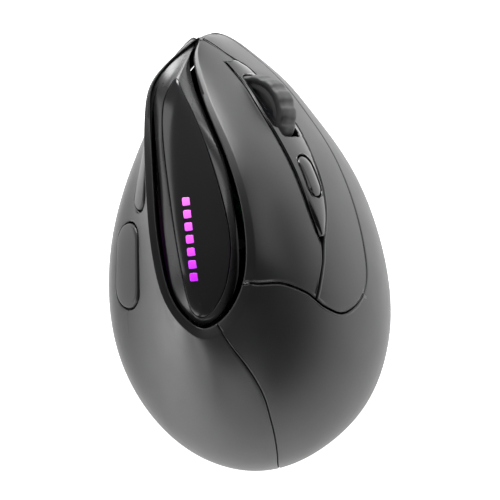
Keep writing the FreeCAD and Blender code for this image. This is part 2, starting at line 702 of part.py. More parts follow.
# The tread is a rounded ring with a few broad grooves across it.
TREAD_GROOVES = 18
tyre = doc.addObject("PartDesign::Body", "wheel_tyre")
tyre_sketch = circles(tyre, "tyre_rings", [("0", "0", "wheel_diameter / 2"),
                                           ("0", "0", "wheel_diameter / 2 - tyre_thickness")])
tyre_pad = pad(tyre, "tyre_pad", tyre_sketch, "wheel_width")
tyre_pad.Midplane = True
doc.recompute()
outer_edges = ["Edge%d" % (i + 1) for i, edge in enumerate(tyre_pad.Shape.Edges)
               if edge.Curve.TypeId == "Part::GeomCircle"
               and abs(edge.Curve.Radius - value("wheel_diameter / 2")) < 1e-6]
tyre_round = tyre.newObject("PartDesign::Fillet", "tyre_round")
tyre_round.Base = (tyre_pad, outer_edges)
tyre_round.setExpression("Radius", bound("groove_depth"))
groove_sketch = rectangle(tyre, "groove_outline", ("wheel_diameter / 2 - groove_depth", "0"),
                          ("2 * groove_depth", "tread_groove"))
groove = tyre.newObject("PartDesign::Pocket", "tread_pocket")
groove.Profile = groove_sketch
groove.Type = 1
groove.Midplane = True
grooves = tyre.newObject("PartDesign::PolarPattern", "tread_grooves")
grooves.Originals = [groove]
grooves.Axis = (groove_sketch, ["N_Axis"])
grooves.Angle = 360
grooves.Occurrences = TREAD_GROOVES
tyre.Tip = grooves
tyre.Placement = HUB
node(tyre)

hub_disc = rod("hub_disc", HUB, ("0", "0", "-wheel_width / 2 + 0.2"), (0, 0, 1),
               "wheel_diameter / 2 - tyre_thickness", "wheel_width - 0.4")
hub_dishes = [rod("hub_dish%d" % side, HUB, ("0", "0", "%d * (wheel_width / 2 - 0.9)" % side),
                  (0, 0, side), "wheel_diameter / 2 - tyre_thickness - 1.2", "2.0")
              for side in (-1, 1)]
hub_bosses = rod("hub_boss", HUB, ("0", "0", "-wheel_width / 2 + 0.2"), (0, 0, 1),
                 "axle_radius + 1.5", "wheel_width - 0.4")
axle = rod("hub_axle", HUB, ("0", "0", "-" + AXLE_LOWER), (0, 0, 1), "axle_radius",
           "%s + %s" % (AXLE_LOWER, AXLE_UPPER))
node(fuse("wheel_hub", [cut("hub_web", hub_disc, hub_dishes), hub_bosses, axle]))

# Heights below are in the face frame, measured outward from the middle of the face.
WHEEL_LOW = "%.4f - wheel_diameter / 2" % wheel_depth
CRADLE_FLOOR = WHEEL_LOW + " - 0.7"
FRAME_FLOOR = CRADLE_FLOOR + " - 1.6 - wheel_press - 0.5"
DECK_TOP = "-(board_depth + board_thickness + deck_gap)"
DECK_LOW = DECK_TOP + " - deck_thickness"
ARM_TOP = "%.4f + axle_radius + 0.7" % wheel_depth
arm_low = "%.2f" % (WHEEL_AT[0] - value("cradle_length / 2"))
arm_high = "%.2f" % (WHEEL_AT[0] + value("cradle_length / 2"))
lower_in = "%.2f - wheel_width / 2 - wheel_clearance" % WHEEL_AT[1]
upper_in = "%.2f + wheel_width / 2 + wheel_clearance" % WHEEL_AT[1]
lower_out = lower_in + " - cradle_arm"
upper_out = upper_in + " + cradle_arm"
cradle_parts = [
    block("cradle_low_arm", FACE, (arm_low, lower_out, CRADLE_FLOOR + " - 1.6"),
          (arm_high, lower_in, ARM_TOP)),
    block("cradle_high_arm", FACE, (arm_low, upper_in, CRADLE_FLOOR + " - 1.6"),
          (arm_high, upper_out, ARM_TOP)),
    block("cradle_bar", FACE, (arm_low, lower_out, CRADLE_FLOOR + " - 1.6"),
          (arm_high, upper_out, CRADLE_FLOOR)),
    block("cradle_tail", FACE, ("1.6", lower_out, "-board_depth + 2.2"),
          (arm_high, lower_in, "-board_depth + 3.7")),
    rod("cradle_nub", FACE, ("2.6", "%s - cradle_arm / 2" % lower_in, "-board_depth + 0.9"),
        (0, 0, 1), "0.7", "2.0"),
]
axle_bore = rod("cradle_bore", HUB, ("0", "0", "-20"), (0, 0, 1), "axle_radius + axle_clearance", "40")
node(cut("wheel_cradle", fuse("cradle_body", cradle_parts), [axle_bore]))

encoder_rear = "%.2f - encoder_length / 2" % WHEEL_AT[0]
encoder_front = "%.2f + encoder_length / 2" % WHEEL_AT[0]
encoder_box = block("encoder_box", FACE, (encoder_rear, lower_out + " - 0.35 - encoder_width",
                                          "-board_depth"),
                    (encoder_front, lower_out + " - 0.35", "%.4f + 0.9" % wheel_depth))
encoder_bore = rod("encoder_bore", HUB, ("0", "wheel_press / 2", "-20"), (0, 0, 1),
                   "axle_radius + wheel_press / 2 + 0.3", "15")
encoder_reach = "axle_radius + wheel_press / 2 + 0.3"
encoder_mouth = block("encoder_mouth", FACE, ("%.2f - (%s)" % (WHEEL_AT[0], encoder_reach), "-25",
                                              "%.4f - wheel_press / 2" % wheel_depth),
                      ("%.2f + %s" % (WHEEL_AT[0], encoder_reach), "-5", "0"))
node(cut("wheel_encoder", encoder_box, [encoder_bore, encoder_mouth]))

# Island with the wheel slot and the resolution button.
DPI_AT = ("-5.0", "-0.4")
slot_rear = "%.2f - 10.4" % WHEEL_AT[0]
slot_front = "%.2f + 10.4" % WHEEL_AT[0]
wheel_slot = block("wheel_slot", FACE, (slot_rear, lower_in, "-16"), (slot_front, upper_in, "12"))
wheel_relief = rod("wheel_relief", HUB, ("0", "0", "-wheel_width / 2 - wheel_clearance"),
                   (0, 0, 1), "wheel_diameter / 2 + wheel_clearance",
                   "wheel_width + 2 * wheel_clearance")
dpi_hole = stadium("dpi_hole", FACE, DPI_AT, "dpi_length + 2 * side_gap",
                   "dpi_width + 2 * side_gap", "-8", "6")
node(cut("wheel_island", island_plate, [wheel_slot, wheel_relief, dpi_hole]))


def key(name, frame, centre, length, width, proud, cover, stem_foot):
    """A button cut from its cover, raised a little, with a stem down to its switch."""
    outline = stadium(name + "_outline", frame, centre, length, width, "-7", "6")
    doc.recompute()
    cap_shape = cover.Shape.common(outline.Shape)
    lift = frame.Rotation.multVec(Vector(0, 0, value(proud)))
    cap_shape.translate(lift)
    cap = feature(name + "_cap", cap_shape)
    x, y = [float(part) for part in centre]
    top = surface_height(frame, x, y) + value(proud) - 0.5 * WALL
    stem = rod(name + "_stem", frame, (centre[0], centre[1], stem_foot), (0, 0, 1), "stem_radius",
               "%.4f - (%s)" % (top, stem_foot))
    return node(fuse(name, [cap, stem]))


def tact(name, frame, centre, foot):
    """A small switch with a socket for the stem of its button."""
    x, y = centre
    half = "tact_side / 2"
    box = block(name + "_box", frame, ("%s - %s" % (x, half), "%s - %s" % (y, half), foot),
                ("%s + %s" % (x, half), "%s + %s" % (y, half), foot + " + tact_height"))
    socket = rod(name + "_socket", frame, (x, y, foot + " + tact_height - 1.9"), (0, 0, 1),
                 "stem_radius + plunger_gap", "3")
    return cut(name, box, [socket])


key("dpi_button", FACE, DPI_AT, "dpi_length", "dpi_width", "dpi_proud", island_plate,
    "-board_depth + tact_height - 0.9")
node(tact("dpi_switch", FACE, DPI_AT, "-board_depth"))
wheel_tact_at = ("2.6", "%s - cradle_arm / 2" % lower_in)
wheel_tact_box = block("wheel_tact_box", FACE, ("-0.2", lower_out, "-board_depth"),
                       ("5.4", lower_in, "-board_depth + 1.5"))
wheel_tact_socket = rod("wheel_tact_socket", FACE, ("2.6", wheel_tact_at[1], "-board_depth + 0.2"),
                        (0, 0, 1), "1.0 - 0.5 * axle_clearance", "3")
node(cut("wheel_switch", wheel_tact_box, [wheel_tact_socket]))

# Main buttons: each plate has a hinge lug at the rear and a stem over its micro switch.
HINGE = "-hinge_depth"
HINGE_AT = "-hinge_setback"
SWITCH_AT = "2.0"
LEFT_SWITCH = 9.7
RIGHT_SWITCH = -10.9
LEFT_LUG = 6.2
RIGHT_LUG = -8.6


def main_button(name, plate, switch_y, lug_y):
    """A button plate with its lug, hinge eye and stem."""
    setback = -value("hinge_setback")
    lug_top = surface_height(FACE, setback, lug_y) - 0.62 * WALL
    stem_top = surface_height(FACE, float(SWITCH_AT), switch_y) - 0.5 * WALL
    low = "%.2f - lug_width / 2" % lug_y
    high = "%.2f + lug_width / 2" % lug_y
    plunger_top = "-board_depth + switch_height + plunger_proud"
    parts = [
        plate,
        block(name + "_lug", FACE, (HINGE_AT + " - 1.2", low, HINGE),
              (HINGE_AT + " + 1.2", high, "%.4f" % lug_top)),
        rod(name + "_eye", FACE, (HINGE_AT, low, HINGE), (0, 1, 0), "hinge_eye", "lug_width"),
        rod(name + "_stem", FACE, (SWITCH_AT, "%.2f" % switch_y, plunger_top), (0, 0, 1),
            "stem_radius", "%.4f - (%s)" % (stem_top, plunger_top)),
    ]
    bore = rod(name + "_bore", FACE, (HINGE_AT, "-30", HINGE), (0, 1, 0),
               "axle_radius + axle_clearance", "60")
    return node(cut(name, fuse(name + "_body", parts), [bore]))


main_button("left_button", left_plate, LEFT_SWITCH, LEFT_LUG)
main_button("right_button", right_plate, RIGHT_SWITCH, RIGHT_LUG)


def micro_switch(name, y):
    """A switch box with a bored top, and its plunger."""
    middle = "%.2f" % y
    box = block(name + "_box", FACE,
                ("%s - switch_length / 2" % SWITCH_AT, middle + " - switch_width / 2", "-board_depth"),
                ("%s + switch_length / 2" % SWITCH_AT, middle + " + switch_width / 2",
                 "-board_depth + switch_height"))
    bore = rod(name + "_bore", FACE, (SWITCH_AT, middle, "-board_depth + switch_height - 3"),
               (0, 0, 1), "plunger_radius + plunger_gap", "4")
    node(cut(name, box, [bore]))


def plunger(name, y):
    node(rod(name, FACE, (SWITCH_AT, "%.2f" % y, "-board_depth + switch_height - 1.6"),
             (0, 0, 1), "plunger_radius", "1.6 + plunger_proud"))


micro_switch("left_switch", LEFT_SWITCH)
micro_switch("right_switch", RIGHT_SWITCH)
plunger("left_plunger", LEFT_SWITCH)
plunger("right_plunger", RIGHT_SWITCH)

PIN_LOW = "%.2f - 1.5 * lug_width - 0.8" % RIGHT_LUG
PIN_HIGH = "%.2f + 1.5 * lug_width + 0.8" % LEFT_LUG
hinge_pin = node(rod("hinge_pin", FACE, (HINGE_AT, PIN_LOW, HINGE), (0, 1, 0), "axle_radius",
                     "(%s) - (%s)" % (PIN_HIGH, PIN_LOW)))

# The button board sits on pads of the inner frame and reaches forward beside the wheel.
BOARD_SCREWS = [("-11.0", "-10.0"), ("-11.0", "9.0"), ("2.2", "1.6")]
SCREW_HOLE = "small_screw_radius + screw_clearance"
BOARD_CORNER = (-14.0, -14.0)


def on_board(x, y):
    return "%.2f" % (float(x) - BOARD_CORNER[0]), "%.2f" % (float(y) - BOARD_CORNER[1])


board("button_board", FACE, ("%.1f" % BOARD_CORNER[0], "%.1f" % BOARD_CORNER[1],
                             "-board_depth - board_thickness"),
      [(("0", "0"), ("19.6", "27.0")), (("19.0", "0"), ("18.0", "7.1"))],
      [on_board(x, y) + (SCREW_HOLE,) for x, y in BOARD_SCREWS])

# The inner frame carries the hinge, the button board, the wheel and the tray.
BASE_TOP = "base_lift + base_wall"
RIB_TOP = CRADLE_FLOOR + " + 2.2"
frame_parts = [
    block("deck", FACE, ("-27", "-13.2", DECK_LOW), ("5.1", "10.8", DECK_TOP)),
    block("step_wall", FACE, ("3.5", "-10.5", FRAME_FLOOR + " - deck_thickness"),
          ("5.1", "4.6", DECK_TOP)),
    block("frame_floor", FACE, ("3.5", "-10.5", FRAME_FLOOR + " - deck_thickness"),
          ("25", "4.6", FRAME_FLOOR)),
    block("board_rest", FACE, ("19", "-10.5", FRAME_FLOOR + " - 0.5"),
          ("22", "-7.5", "-board_depth - board_thickness")),
    block("tray_arm", FACE, ("-9", "8", DECK_LOW), ("-1", "17", DECK_TOP)),
]
for side, start in (("rear", "%s - 0.3 - 1.4" % arm_low), ("fore", "%s + 0.3" % arm_high)):
    for name, low, high in (("low", lower_out, lower_in), ("high", upper_in, upper_out)):
        frame_parts.append(block("guide_%s_%s" % (side, name), FACE,
                                 (start, low, FRAME_FLOOR + " - 0.5"),
                                 (start + " + 1.4", high, RIB_TOP)))
HINGE_BLOCKS = [("low", "%.2f - 1.5 * lug_width - 0.4" % RIGHT_LUG,
                 "%.2f - 0.5 * lug_width - 0.4" % RIGHT_LUG),
                ("mid", "%.2f + 0.5 * lug_width + 0.4" % RIGHT_LUG,
                 "%.2f - 0.5 * lug_width - 0.4" % LEFT_LUG),
                ("high", "%.2f + 0.5 * lug_width + 0.4" % LEFT_LUG,
                 "%.2f + 1.5 * lug_width + 0.4" % LEFT_LUG)]
for name, low, high in HINGE_BLOCKS:
    frame_parts.append(rod("hinge_eye_" + name, FACE, (HINGE_AT, low, HINGE), (0, 1, 0),
                           "hinge_eye - 0.3", "(%s) - (%s)" % (high, low)))
    frame_parts.append(block("hinge_arm_" + name, FACE, (HINGE_AT, low, DECK_LOW),
                             ("-26.8", high, HINGE + " + 0.3")))
for index, (x, y) in enumerate(BOARD_SCREWS):
    frame_parts.append(rod("deck_pad%d" % index, FACE, (x, y, DECK_LOW), (0, 0, 1),
                           "small_head_radius + 0.3", "deck_thickness + deck_gap"))

# Four legs stand on the base and end in the sloping deck and floor.
LEGS = [(-22.0, -10.0, DECK_LOW, DECK_TOP), (-22.0, 6.0, DECK_LOW, DECK_TOP),
        (22.0, 2.0, FRAME_FLOOR + " - deck_thickness", FRAME_FLOOR),
        (8.0, 3.0, FRAME_FLOOR + " - deck_thickness", FRAME_FLOOR)]
leg_places = []
for index, (x, y, low, top) in enumerate(LEGS):
    spot = FACE.multVec(Vector(x, y, value(low)))
    leg_places.append(("%.3f" % spot.x, "%.3f" % spot.y))
    leg = rod("leg%d" % index, WORLD, leg_places[-1] + (BASE_TOP,), (0, 0, 1), "leg_radius", "60")
    above = block("leg%d_above" % index, FACE, ("-60", "-60", top), ("60", "60", "80"))
    frame_parts.append(cut("leg%d_cut" % index, leg, [above]))
post_spot = FACE.multVec(Vector(-5.0, 15.0, value(DECK_LOW) + 0.9))
tray_bottom = skin(tray_under)
u, v = tray_bottom.parameter(Vector(post_spot.x, post_spot.y, post_spot.z + 6.0))
tray_height = post_spot.z
for _ in range(10):
    u, v = tray_bottom.parameter(Vector(post_spot.x, post_spot.y, tray_height))
    tray_height = tray_bottom.value(u, v).z
frame_parts.append(rod("tray_post", WORLD, ("%.3f" % post_spot.x, "%.3f" % post_spot.y,
                                            "%.3f" % post_spot.z),
                       (0, 0, 1), "1.4", "%.3f" % (tray_height + 0.35 - post_spot.z)))
CASE_HOLE = "case_screw_radius + screw_clearance"
SHAFT_START = "base_lift + case_head_height"


def case_hole(name, place):
    return rod(name, WORLD, place + ("-1",), (0, 0, 1), CASE_HOLE,
               "1 + %s + case_screw_length + 0.3" % SHAFT_START)


frame_holes = [case_hole("leg_hole%d" % i, place) for i, place in enumerate(leg_places)]
frame_holes += [rod("deck_hole%d" % i, FACE, (x, y, DECK_LOW + " - 1"), (0, 0, 1), SCREW_HOLE, "5")
                for i, (x, y) in enumerate(BOARD_SCREWS)]
frame_holes.append(rod("pin_hole", FACE, (HINGE_AT, "-30", HINGE), (0, 1, 0), "axle_radius", "60"))
frame_holes.append(NODES["bezel_tray"])
node(cut("inner_frame", fuse("frame_body", frame_parts), frame_holes))

# The thumb slope: two buttons, their switches and a board on pegs behind them.
REAR_KEY = THUMB.multiply(Placement(Vector(-14.3, 0.2, 0), Rotation(Vector(0, 0, 1), 6)))
FRONT_KEY = THUMB.multiply(Placement(Vector(11.0, -3.7, 0), Rotation()))
KEY_FOOT = "-side_depth + tact_height - 0.9"
key("rear_side_button", REAR_KEY, ("0", "0"), "side_rear_length", "side_rear_width", "side_proud",
    thumb_cover, KEY_FOOT)
key("front_side_button", FRONT_KEY, ("0", "0"), "side_front_length", "side_front_width",
    "side_proud", thumb_cover, KEY_FOOT)
key_holes = [
    stadium("rear_key_hole", REAR_KEY, ("0", "0"), "side_rear_length + 2 * side_gap",
            "side_rear_width + 2 * side_gap", "-7", "7"),
    stadium("front_key_hole", FRONT_KEY, ("0", "0"), "side_front_length + 2 * side_gap",
            "side_front_width + 2 * side_gap", "-7", "7"),
]
side_tacts = [tact("rear_tact", REAR_KEY, ("0", "0"), "-side_depth"),
              tact("front_tact", FRONT_KEY, ("0", "0"), "-side_depth")]
node(fuse("side_switches", side_tacts))
PEGS = [(-1.0, 6.8), (13.0, 5.5), (-18.0, 7.0)]
SIDE_CORNER = (-20.0, -7.0)
board("side_board", THUMB, ("%.1f" % SIDE_CORNER[0], "%.1f" % SIDE_CORNER[1],
                            "-side_depth - board_thickness"),
      [(("0", "0"), ("36.5", "16.0"))],
      [("%.2f" % (x - SIDE_CORNER[0]), "%.2f" % (y - SIDE_CORNER[1]), SCREW_HOLE) for x, y in PEGS])


def shell_posts(name, clocks):
    """Screw posts of a shell with ribs to its wall, and the holes in them."""
    posts = []
    holes = []
    places = []
    for index, clock in enumerate(clocks):
        wall_point = on_side(clock, 0.15)
        away = flat(outward(clock, 0.15)).normalize()
        centre = wall_point - away * value("post_inset")
        place = ("%.3f" % centre.x, "%.3f" % centre.y)
        frame = axes_frame(flat(centre), away, Vector(0, 0, 1))
        posts.append(rod("%s_post%d" % (name, index), WORLD, place + (BASE_TOP,), (0, 0, 1),
                         "post_radius", "post_height"))
        posts.append(block("%s_rib%d" % (name, index), frame, ("0", "-1.2", BASE_TOP + " + 1"),
                           ("post_inset - shell_wall + 0.5", "1.2", BASE_TOP + " + post_height")))
        holes.append(case_hole("%s_hole%d" % (name, index), place))
        places.append(place)
    return posts, holes, places


thumb_posts, thumb_holes, thumb_places = shell_posts("thumb", (6.6, 8.3, 10.3))
palm_posts, palm_holes, palm_places = shell_posts("palm", (5.85, 4.3, 3.0))
thumb_pegs = []
peg_holes = []
for index, (x, y) in enumerate(PEGS):
    top = surface_height(THUMB, x, y) - 0.5 * WALL
    thumb_pegs.append(rod("peg%d" % index, THUMB, ("%.2f" % x, "%.2f" % y, "-side_depth"),
                          (0, 0, 1), "1.9", "%.3f + side_depth" % top))
    peg_holes.append(rod("peg_hole%d" % index, THUMB, ("%.2f" % x, "%.2f" % y, "-side_depth - 1"),
                         (0, 0, 1), SCREW_HOLE, "1 + small_screw_length - board_thickness + 0.2"))

# Charging socket in the nose: its frame looks out along +Y.
PORT_AT = (-6.5, 0.0, 8.8)
PORT = axes_frame(Vector(*PORT_AT), Vector(1, 0, 0), Vector(0, 1, 0))
nose_depth = min(surface_height(PORT, x, y, 60.0) for x in (-4.5, 0.0, 4.5) for y in (-1.6, 1.6))
PORT = axes_frame(Vector(PORT_AT[0], nose_depth - 0.3, PORT_AT[2]), Vector(1, 0, 0), Vector(0, 1, 0))
port_hole = stadium("port_hole", PORT, ("0", "0"), "port_width + 2 * port_gap",
                    "port_height + 2 * port_gap", "-9", "6")
port_can = stadium("port_can", PORT, ("0", "0"), "port_width", "port_height", "-port_length", "0")
port_mouth = stadium("port_mouth", PORT, ("0", "0"), "port_width - 2 * port_skin",
                     "port_height - 2 * port_skin", "-port_length + 1", "1")
port_tongue = block("port_tongue", PORT, ("-3.35", "-0.35", "-port_length + 0.5"),
                    ("3.35", "0.35", "-0.6"))
node(fuse("usb_port", [cut("port_sheet", port_can, [port_mouth]), port_tongue]))
node(cut("thumb_shell", fuse("thumb_body", [thumb_cover] + thumb_posts + thumb_pegs),
         key_holes + thumb_holes + peg_holes + [port_hole]))
node(cut("palm_shell", fuse("palm_body", [palm_cover] + palm_posts), palm_holes))

# Base plate: its outline keeps inside the rim of the shells.
rim = [flat(on_side(i * HOURS, 0.0) - outward(i * HOURS, 0.0) * WALL) for i in range(COUNT)]
base_line = [edge + way * value("base_gap") for edge, way in zip(rim, inward(rim))]
base_curve = Part.BSplineCurve()
base_poles = poles(base_line)
base_curve.buildFromPolesMultsKnots([base_poles[i - 1] for i in range(COUNT)], [1] * (COUNT + 1),
                                    [i * HOURS for i in range(COUNT + 1)], True, 3)
base_face = Part.Face(Part.Wire([base_curve.toShape()]))
base_face.translate(Vector(0, 0, value("base_lift")))
base_sheet = feature("base_sheet", base_face.extrude(Vector(0, 0, value("base_wall"))))

# Main board on base posts, with the sensor, radio and power switch.
MAIN_LOW = BASE_TOP + " + main_board_lift"
MAIN_TOP = MAIN_LOW + " + board_thickness"
MAIN_CORNER = (-5.0, 0.0)
MAIN_SCREWS = [(-2.8, 2.4), (13.4, 2.4), (13.4, 31.0), (-5.7, 46.0)]
SENSOR_AT = (2.0, 12.0)
POWER_AT = (11.2, 9.0)
board("main_board", WORLD, ("%.1f" % MAIN_CORNER[0], "%.1f" % MAIN_CORNER[1], MAIN_LOW),
      [(("0", "0"), ("main_board_width", "main_board_length")),
       (("-5.0", "main_board_length - 4"), ("board_neck_width", "board_neck_length"))],
      [("%.2f" % (x - MAIN_CORNER[0]), "%.2f" % (y - MAIN_CORNER[1]), SCREW_HOLE)
       for x, y in MAIN_SCREWS])


def square(name, centre, width, length, low, high):
    """A box about a centre in plan."""
    x, y = centre
    return block(name, WORLD, ("%.2f - (%s) / 2" % (x, width), "%.2f - (%s) / 2" % (y, length), low),
                 ("%.2f + (%s) / 2" % (x, width), "%.2f + (%s) / 2" % (y, length), high))


node(square("sensor_chip", SENSOR_AT, "sensor_side", "sensor_side", MAIN_TOP,
            MAIN_TOP + " + sensor_height"))
lens_plate = square("lens_plate", SENSOR_AT, "12", "15", BASE_TOP, BASE_TOP + " + 1.2")
lens_block = square("lens_block", SENSOR_AT, "8", "9", BASE_TOP, MAIN_LOW)
lens_foot = square("lens_foot", SENSOR_AT, "6.4", "8.4", "base_lift + 0.8", BASE_TOP)
node(fuse("sensor_lens", [lens_plate, lens_block, lens_foot]))
node(square("radio_chip", (8.0, 26.0), "7", "6", MAIN_TOP, MAIN_TOP + " + 1.2"))
switch_low = BASE_TOP + " + 1.1"
power_box = square("power_box", POWER_AT, "5.6", "9", switch_low, MAIN_LOW)
power_slit = square("power_slit", POWER_AT, "1.8", "1.2 + knob_travel + 1", switch_low + " - 1",
                    switch_low + " + 1.2")
node(cut("power_switch", power_box, [power_slit]))
KNOB_AT = (POWER_AT[0], POWER_AT[1] - value("knob_travel / 2"))
knob_parts = [square("knob_block", KNOB_AT, "knob_width", "knob_length", "base_lift + 0.3",
                     switch_low + " - 0.4"),
              square("knob_flange", KNOB_AT, "knob_width + 2", "knob_length + 2.4",
                     BASE_TOP + " + 0.2", switch_low + " - 0.3"),
              square("knob_tongue", KNOB_AT, "1.0", "1.2", switch_low + " - 0.5",
                     switch_low + " + 0.8")]
node(fuse("power_knob", knob_parts))

# Battery on a foam pad between fences of the base.
BATTERY_AT = (0.0, -32.0)
node(square("battery_pad", BATTERY_AT, "battery_width - 4", "battery_length - 4", BASE_TOP,
            BASE_TOP + " + battery_pad"))
battery = doc.addObject("PartDesign::Body", "battery")
battery_sketch = rectangle(battery, "battery_outline", ("-battery_width / 2", "-battery_length / 2"),
                           ("battery_width", "battery_length"))
battery_block = pad(battery, "battery_block", battery_sketch, "battery_height")
doc.recompute()
long_edges = ["Edge%d" % (i + 1) for i, edge in enumerate(battery_block.Shape.Edges)
              if edge.Length > value("battery_length") - 0.1 or edge.BoundBox.ZLength > 1]
battery_round = battery.newObject("PartDesign::Fillet", "battery_round")
battery_round.Base = (battery_block, long_edges)
battery_round.setExpression("Radius", bound("battery_height / 4"))
battery.Placement = Placement(Vector(BATTERY_AT[0], BATTERY_AT[1], value(BASE_TOP + " + battery_pad")),
                              Rotation())
node(battery)
FENCE = "battery_width / 2 + 0.4"
base_adds = [base_sheet]
for side in (-1, 1):
    start = "%d * (%s) - 0.6 + %d * 0.6" % (side, FENCE, side)
    base_adds.append(block("fence_side%d" % side, WORLD, (start, "-45", BASE_TOP + " - 0.5"),
                           (start + " + 1.2", "-19", BASE_TOP + " + 4")))
for name, y in (("front", "%.1f + battery_length / 2 + 0.4" % BATTERY_AT[1]),
                ("rear", "%.1f - battery_length / 2 - 1.6" % BATTERY_AT[1])):
    base_adds.append(block("fence_" + name, WORLD, ("-6", y, BASE_TOP + " - 0.5"),
                           ("6", y + " + 1.2", BASE_TOP + " + 4")))
for index, (x, y) in enumerate(MAIN_SCREWS):
    base_adds.append(rod("board_post%d" % index, WORLD, ("%.2f" % x, "%.2f" % y, BASE_TOP + " - 0.5"),
                         (0, 0, 1), "2.0", "main_board_lift + 0.5"))

# Glide feet in shallow recesses, and everything cut from the base.
FEET = [("front_foot", (-5.5, 43.5), "front_foot_length", 0.0),
        ("rear_left_foot", (-24.0, -30.5), "rear_foot_length", -62.0),
        ("rear_right_foot", (26.0, -34.0), "rear_foot_length", 62.0)]
base_cuts = []
for name, (x, y), length, turn in FEET:
    frame = Placement(Vector(x, y, 0), Rotation(Vector(0, 0, 1), turn))
    node(stadium(name, frame, ("0", "0"), length, "foot_width", "0", "foot_thickness"))
    base_cuts.append(stadium(name + "_recess", frame, ("0", "0"), length + " + 2 * foot_gap",
                             "foot_width + 2 * foot_gap", "-1", "foot_thickness"))
case_places = leg_places + thumb_places + palm_places
case_parts = []
for index, place in enumerate(case_places):
    base_cuts.append(case_hole("base_hole%d" % index, place))
    base_cuts.append(rod("head_recess%d" % index, WORLD, place + ("-1",), (0, 0, 1),
                         "case_head_radius + 0.15", "1 + " + SHAFT_START))
    screw = fuse("case_screw%d" % index, [
        rod("case_head%d" % index, WORLD, place + ("base_lift",), (0, 0, 1), "case_head_radius",
            "case_head_height"),
        rod("case_shaft%d" % index, WORLD, place + (SHAFT_START + " - 0.1",), (0, 0, 1),
            "case_screw_radius", "case_screw_length + 0.1")])
    x, y = place
    slot = block("case_slot%d" % index, WORLD, (x + " - 1.4", y + " - 0.3", "base_lift - 0.2"),
                 (x + " + 1.4", y + " + 0.3", "base_lift + 0.5"))
    case_parts.append(cut("case_screw_cut%d" % index, screw, [slot]))
node(fuse("case_screws", case_parts))
base_cuts.append(square("lens_window", SENSOR_AT, "7.0", "9.0", "-1", BASE_TOP + " + 0.2"))
base_cuts.append(square("knob_slot", POWER_AT, "knob_width + 0.8", "knob_length + knob_travel + 0.8",
                        "-1", BASE_TOP + " + 0.2"))
for index, (x, y) in enumerate(MAIN_SCREWS):
    base_cuts.append(rod("post_hole%d" % index, WORLD, ("%.2f" % x, "%.2f" % y,
                                                       MAIN_TOP + " - small_screw_length - 0.2"),
                         (0, 0, 1), SCREW_HOLE, "6"))
node(cut("base_cover", fuse("base_body", base_adds), base_cuts))


def small_screw(name, frame, x, y, seat):
    """A board screw whose head lies on a seat."""
    head = rod(name + "_head", frame, (x, y, seat), (0, 0, 1), "small_head_radius",
               "small_head_height")
    shaft = rod(name + "_shaft", frame, (x, y, seat), (0, 0, -1), "small_screw_radius",
                "small_screw_length")
    return fuse(name, [head, shaft])


board_screws = [small_screw("main_screw%d" % i, WORLD, "%.2f" % x, "%.2f" % y, MAIN_TOP)
                for i, (x, y) in enumerate(MAIN_SCREWS)]
board_screws += [small_screw("deck_screw%d" % i, FACE, x, y, "-board_depth")
                 for i, (x, y) in enumerate(BOARD_SCREWS)]
UNDER = THUMB.multiply(Placement(Vector(0, 0, value("-side_depth - board_thickness")),
                                 Rotation(Vector(1, 0, 0), 180)))
board_screws += [small_screw("side_screw%d" % i, UNDER, "%.2f" % x, "%.2f" % -y, "0")
                 for i, (x, y) in enumerate(PEGS)]
node(fuse("board_screws", board_screws))

# A flat cable climbs from the main board to the lower edge of the button board.
cable_top = FACE.multVec(Vector(-7.0, -13.6, value("-board_depth - board_thickness")))
CABLE = axes_frame(flat(cable_top), flat(FACE.Rotation.multVec(Vector(1, 0, 0))), Vector(0, 0, 1))
cable_strip = block("cable_strip", CABLE, ("-cable_width / 2", "-cable_thickness / 2", MAIN_TOP),
                    ("cable_width / 2", "cable_thickness / 2", "40"))
cable_above = block("cable_above", FACE, ("-60", "-60", "-board_depth - board_thickness"),
                    ("60", "60", "60"))
node(cut("ribbon_cable", cable_strip, [cable_above]))

doc.recompute()
for item in doc.Objects:
    assert not set(item.State) & {"Invalid", "Error"}, (item.Name, item.State)
os.makedirs("parts", exist_ok=True)
for name, piece in sorted(NODES.items()):
    shape = piece.Shape
    assert not shape.isNull() and shape.isValid() and shape.Solids, name
    shape.exportStep("parts/%s.step" % name)
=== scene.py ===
import bpy
import bmesh
import math
import numpy as np
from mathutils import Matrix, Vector


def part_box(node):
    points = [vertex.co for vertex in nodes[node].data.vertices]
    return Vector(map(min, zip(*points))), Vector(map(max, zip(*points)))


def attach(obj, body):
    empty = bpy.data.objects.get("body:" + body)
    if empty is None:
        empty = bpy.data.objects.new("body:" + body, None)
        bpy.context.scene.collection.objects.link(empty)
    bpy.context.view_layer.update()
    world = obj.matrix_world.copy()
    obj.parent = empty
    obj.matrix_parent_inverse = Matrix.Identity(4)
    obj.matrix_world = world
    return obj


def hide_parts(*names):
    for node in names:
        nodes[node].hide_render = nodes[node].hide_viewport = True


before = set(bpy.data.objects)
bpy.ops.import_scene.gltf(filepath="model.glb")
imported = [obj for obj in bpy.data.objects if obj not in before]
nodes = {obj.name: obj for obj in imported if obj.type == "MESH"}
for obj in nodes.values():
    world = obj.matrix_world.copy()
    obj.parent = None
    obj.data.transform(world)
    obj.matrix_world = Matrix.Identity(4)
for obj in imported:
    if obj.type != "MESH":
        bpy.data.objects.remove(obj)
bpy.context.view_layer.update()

# Thumb-side shell: one moulding that runs from the rear seam round the deep thumb scoop to the
# nose and turns in at the top as a narrow flange. ABS with a satin soft-touch coat; it is held
# to the base by screws from below, and the two side buttons come through it.

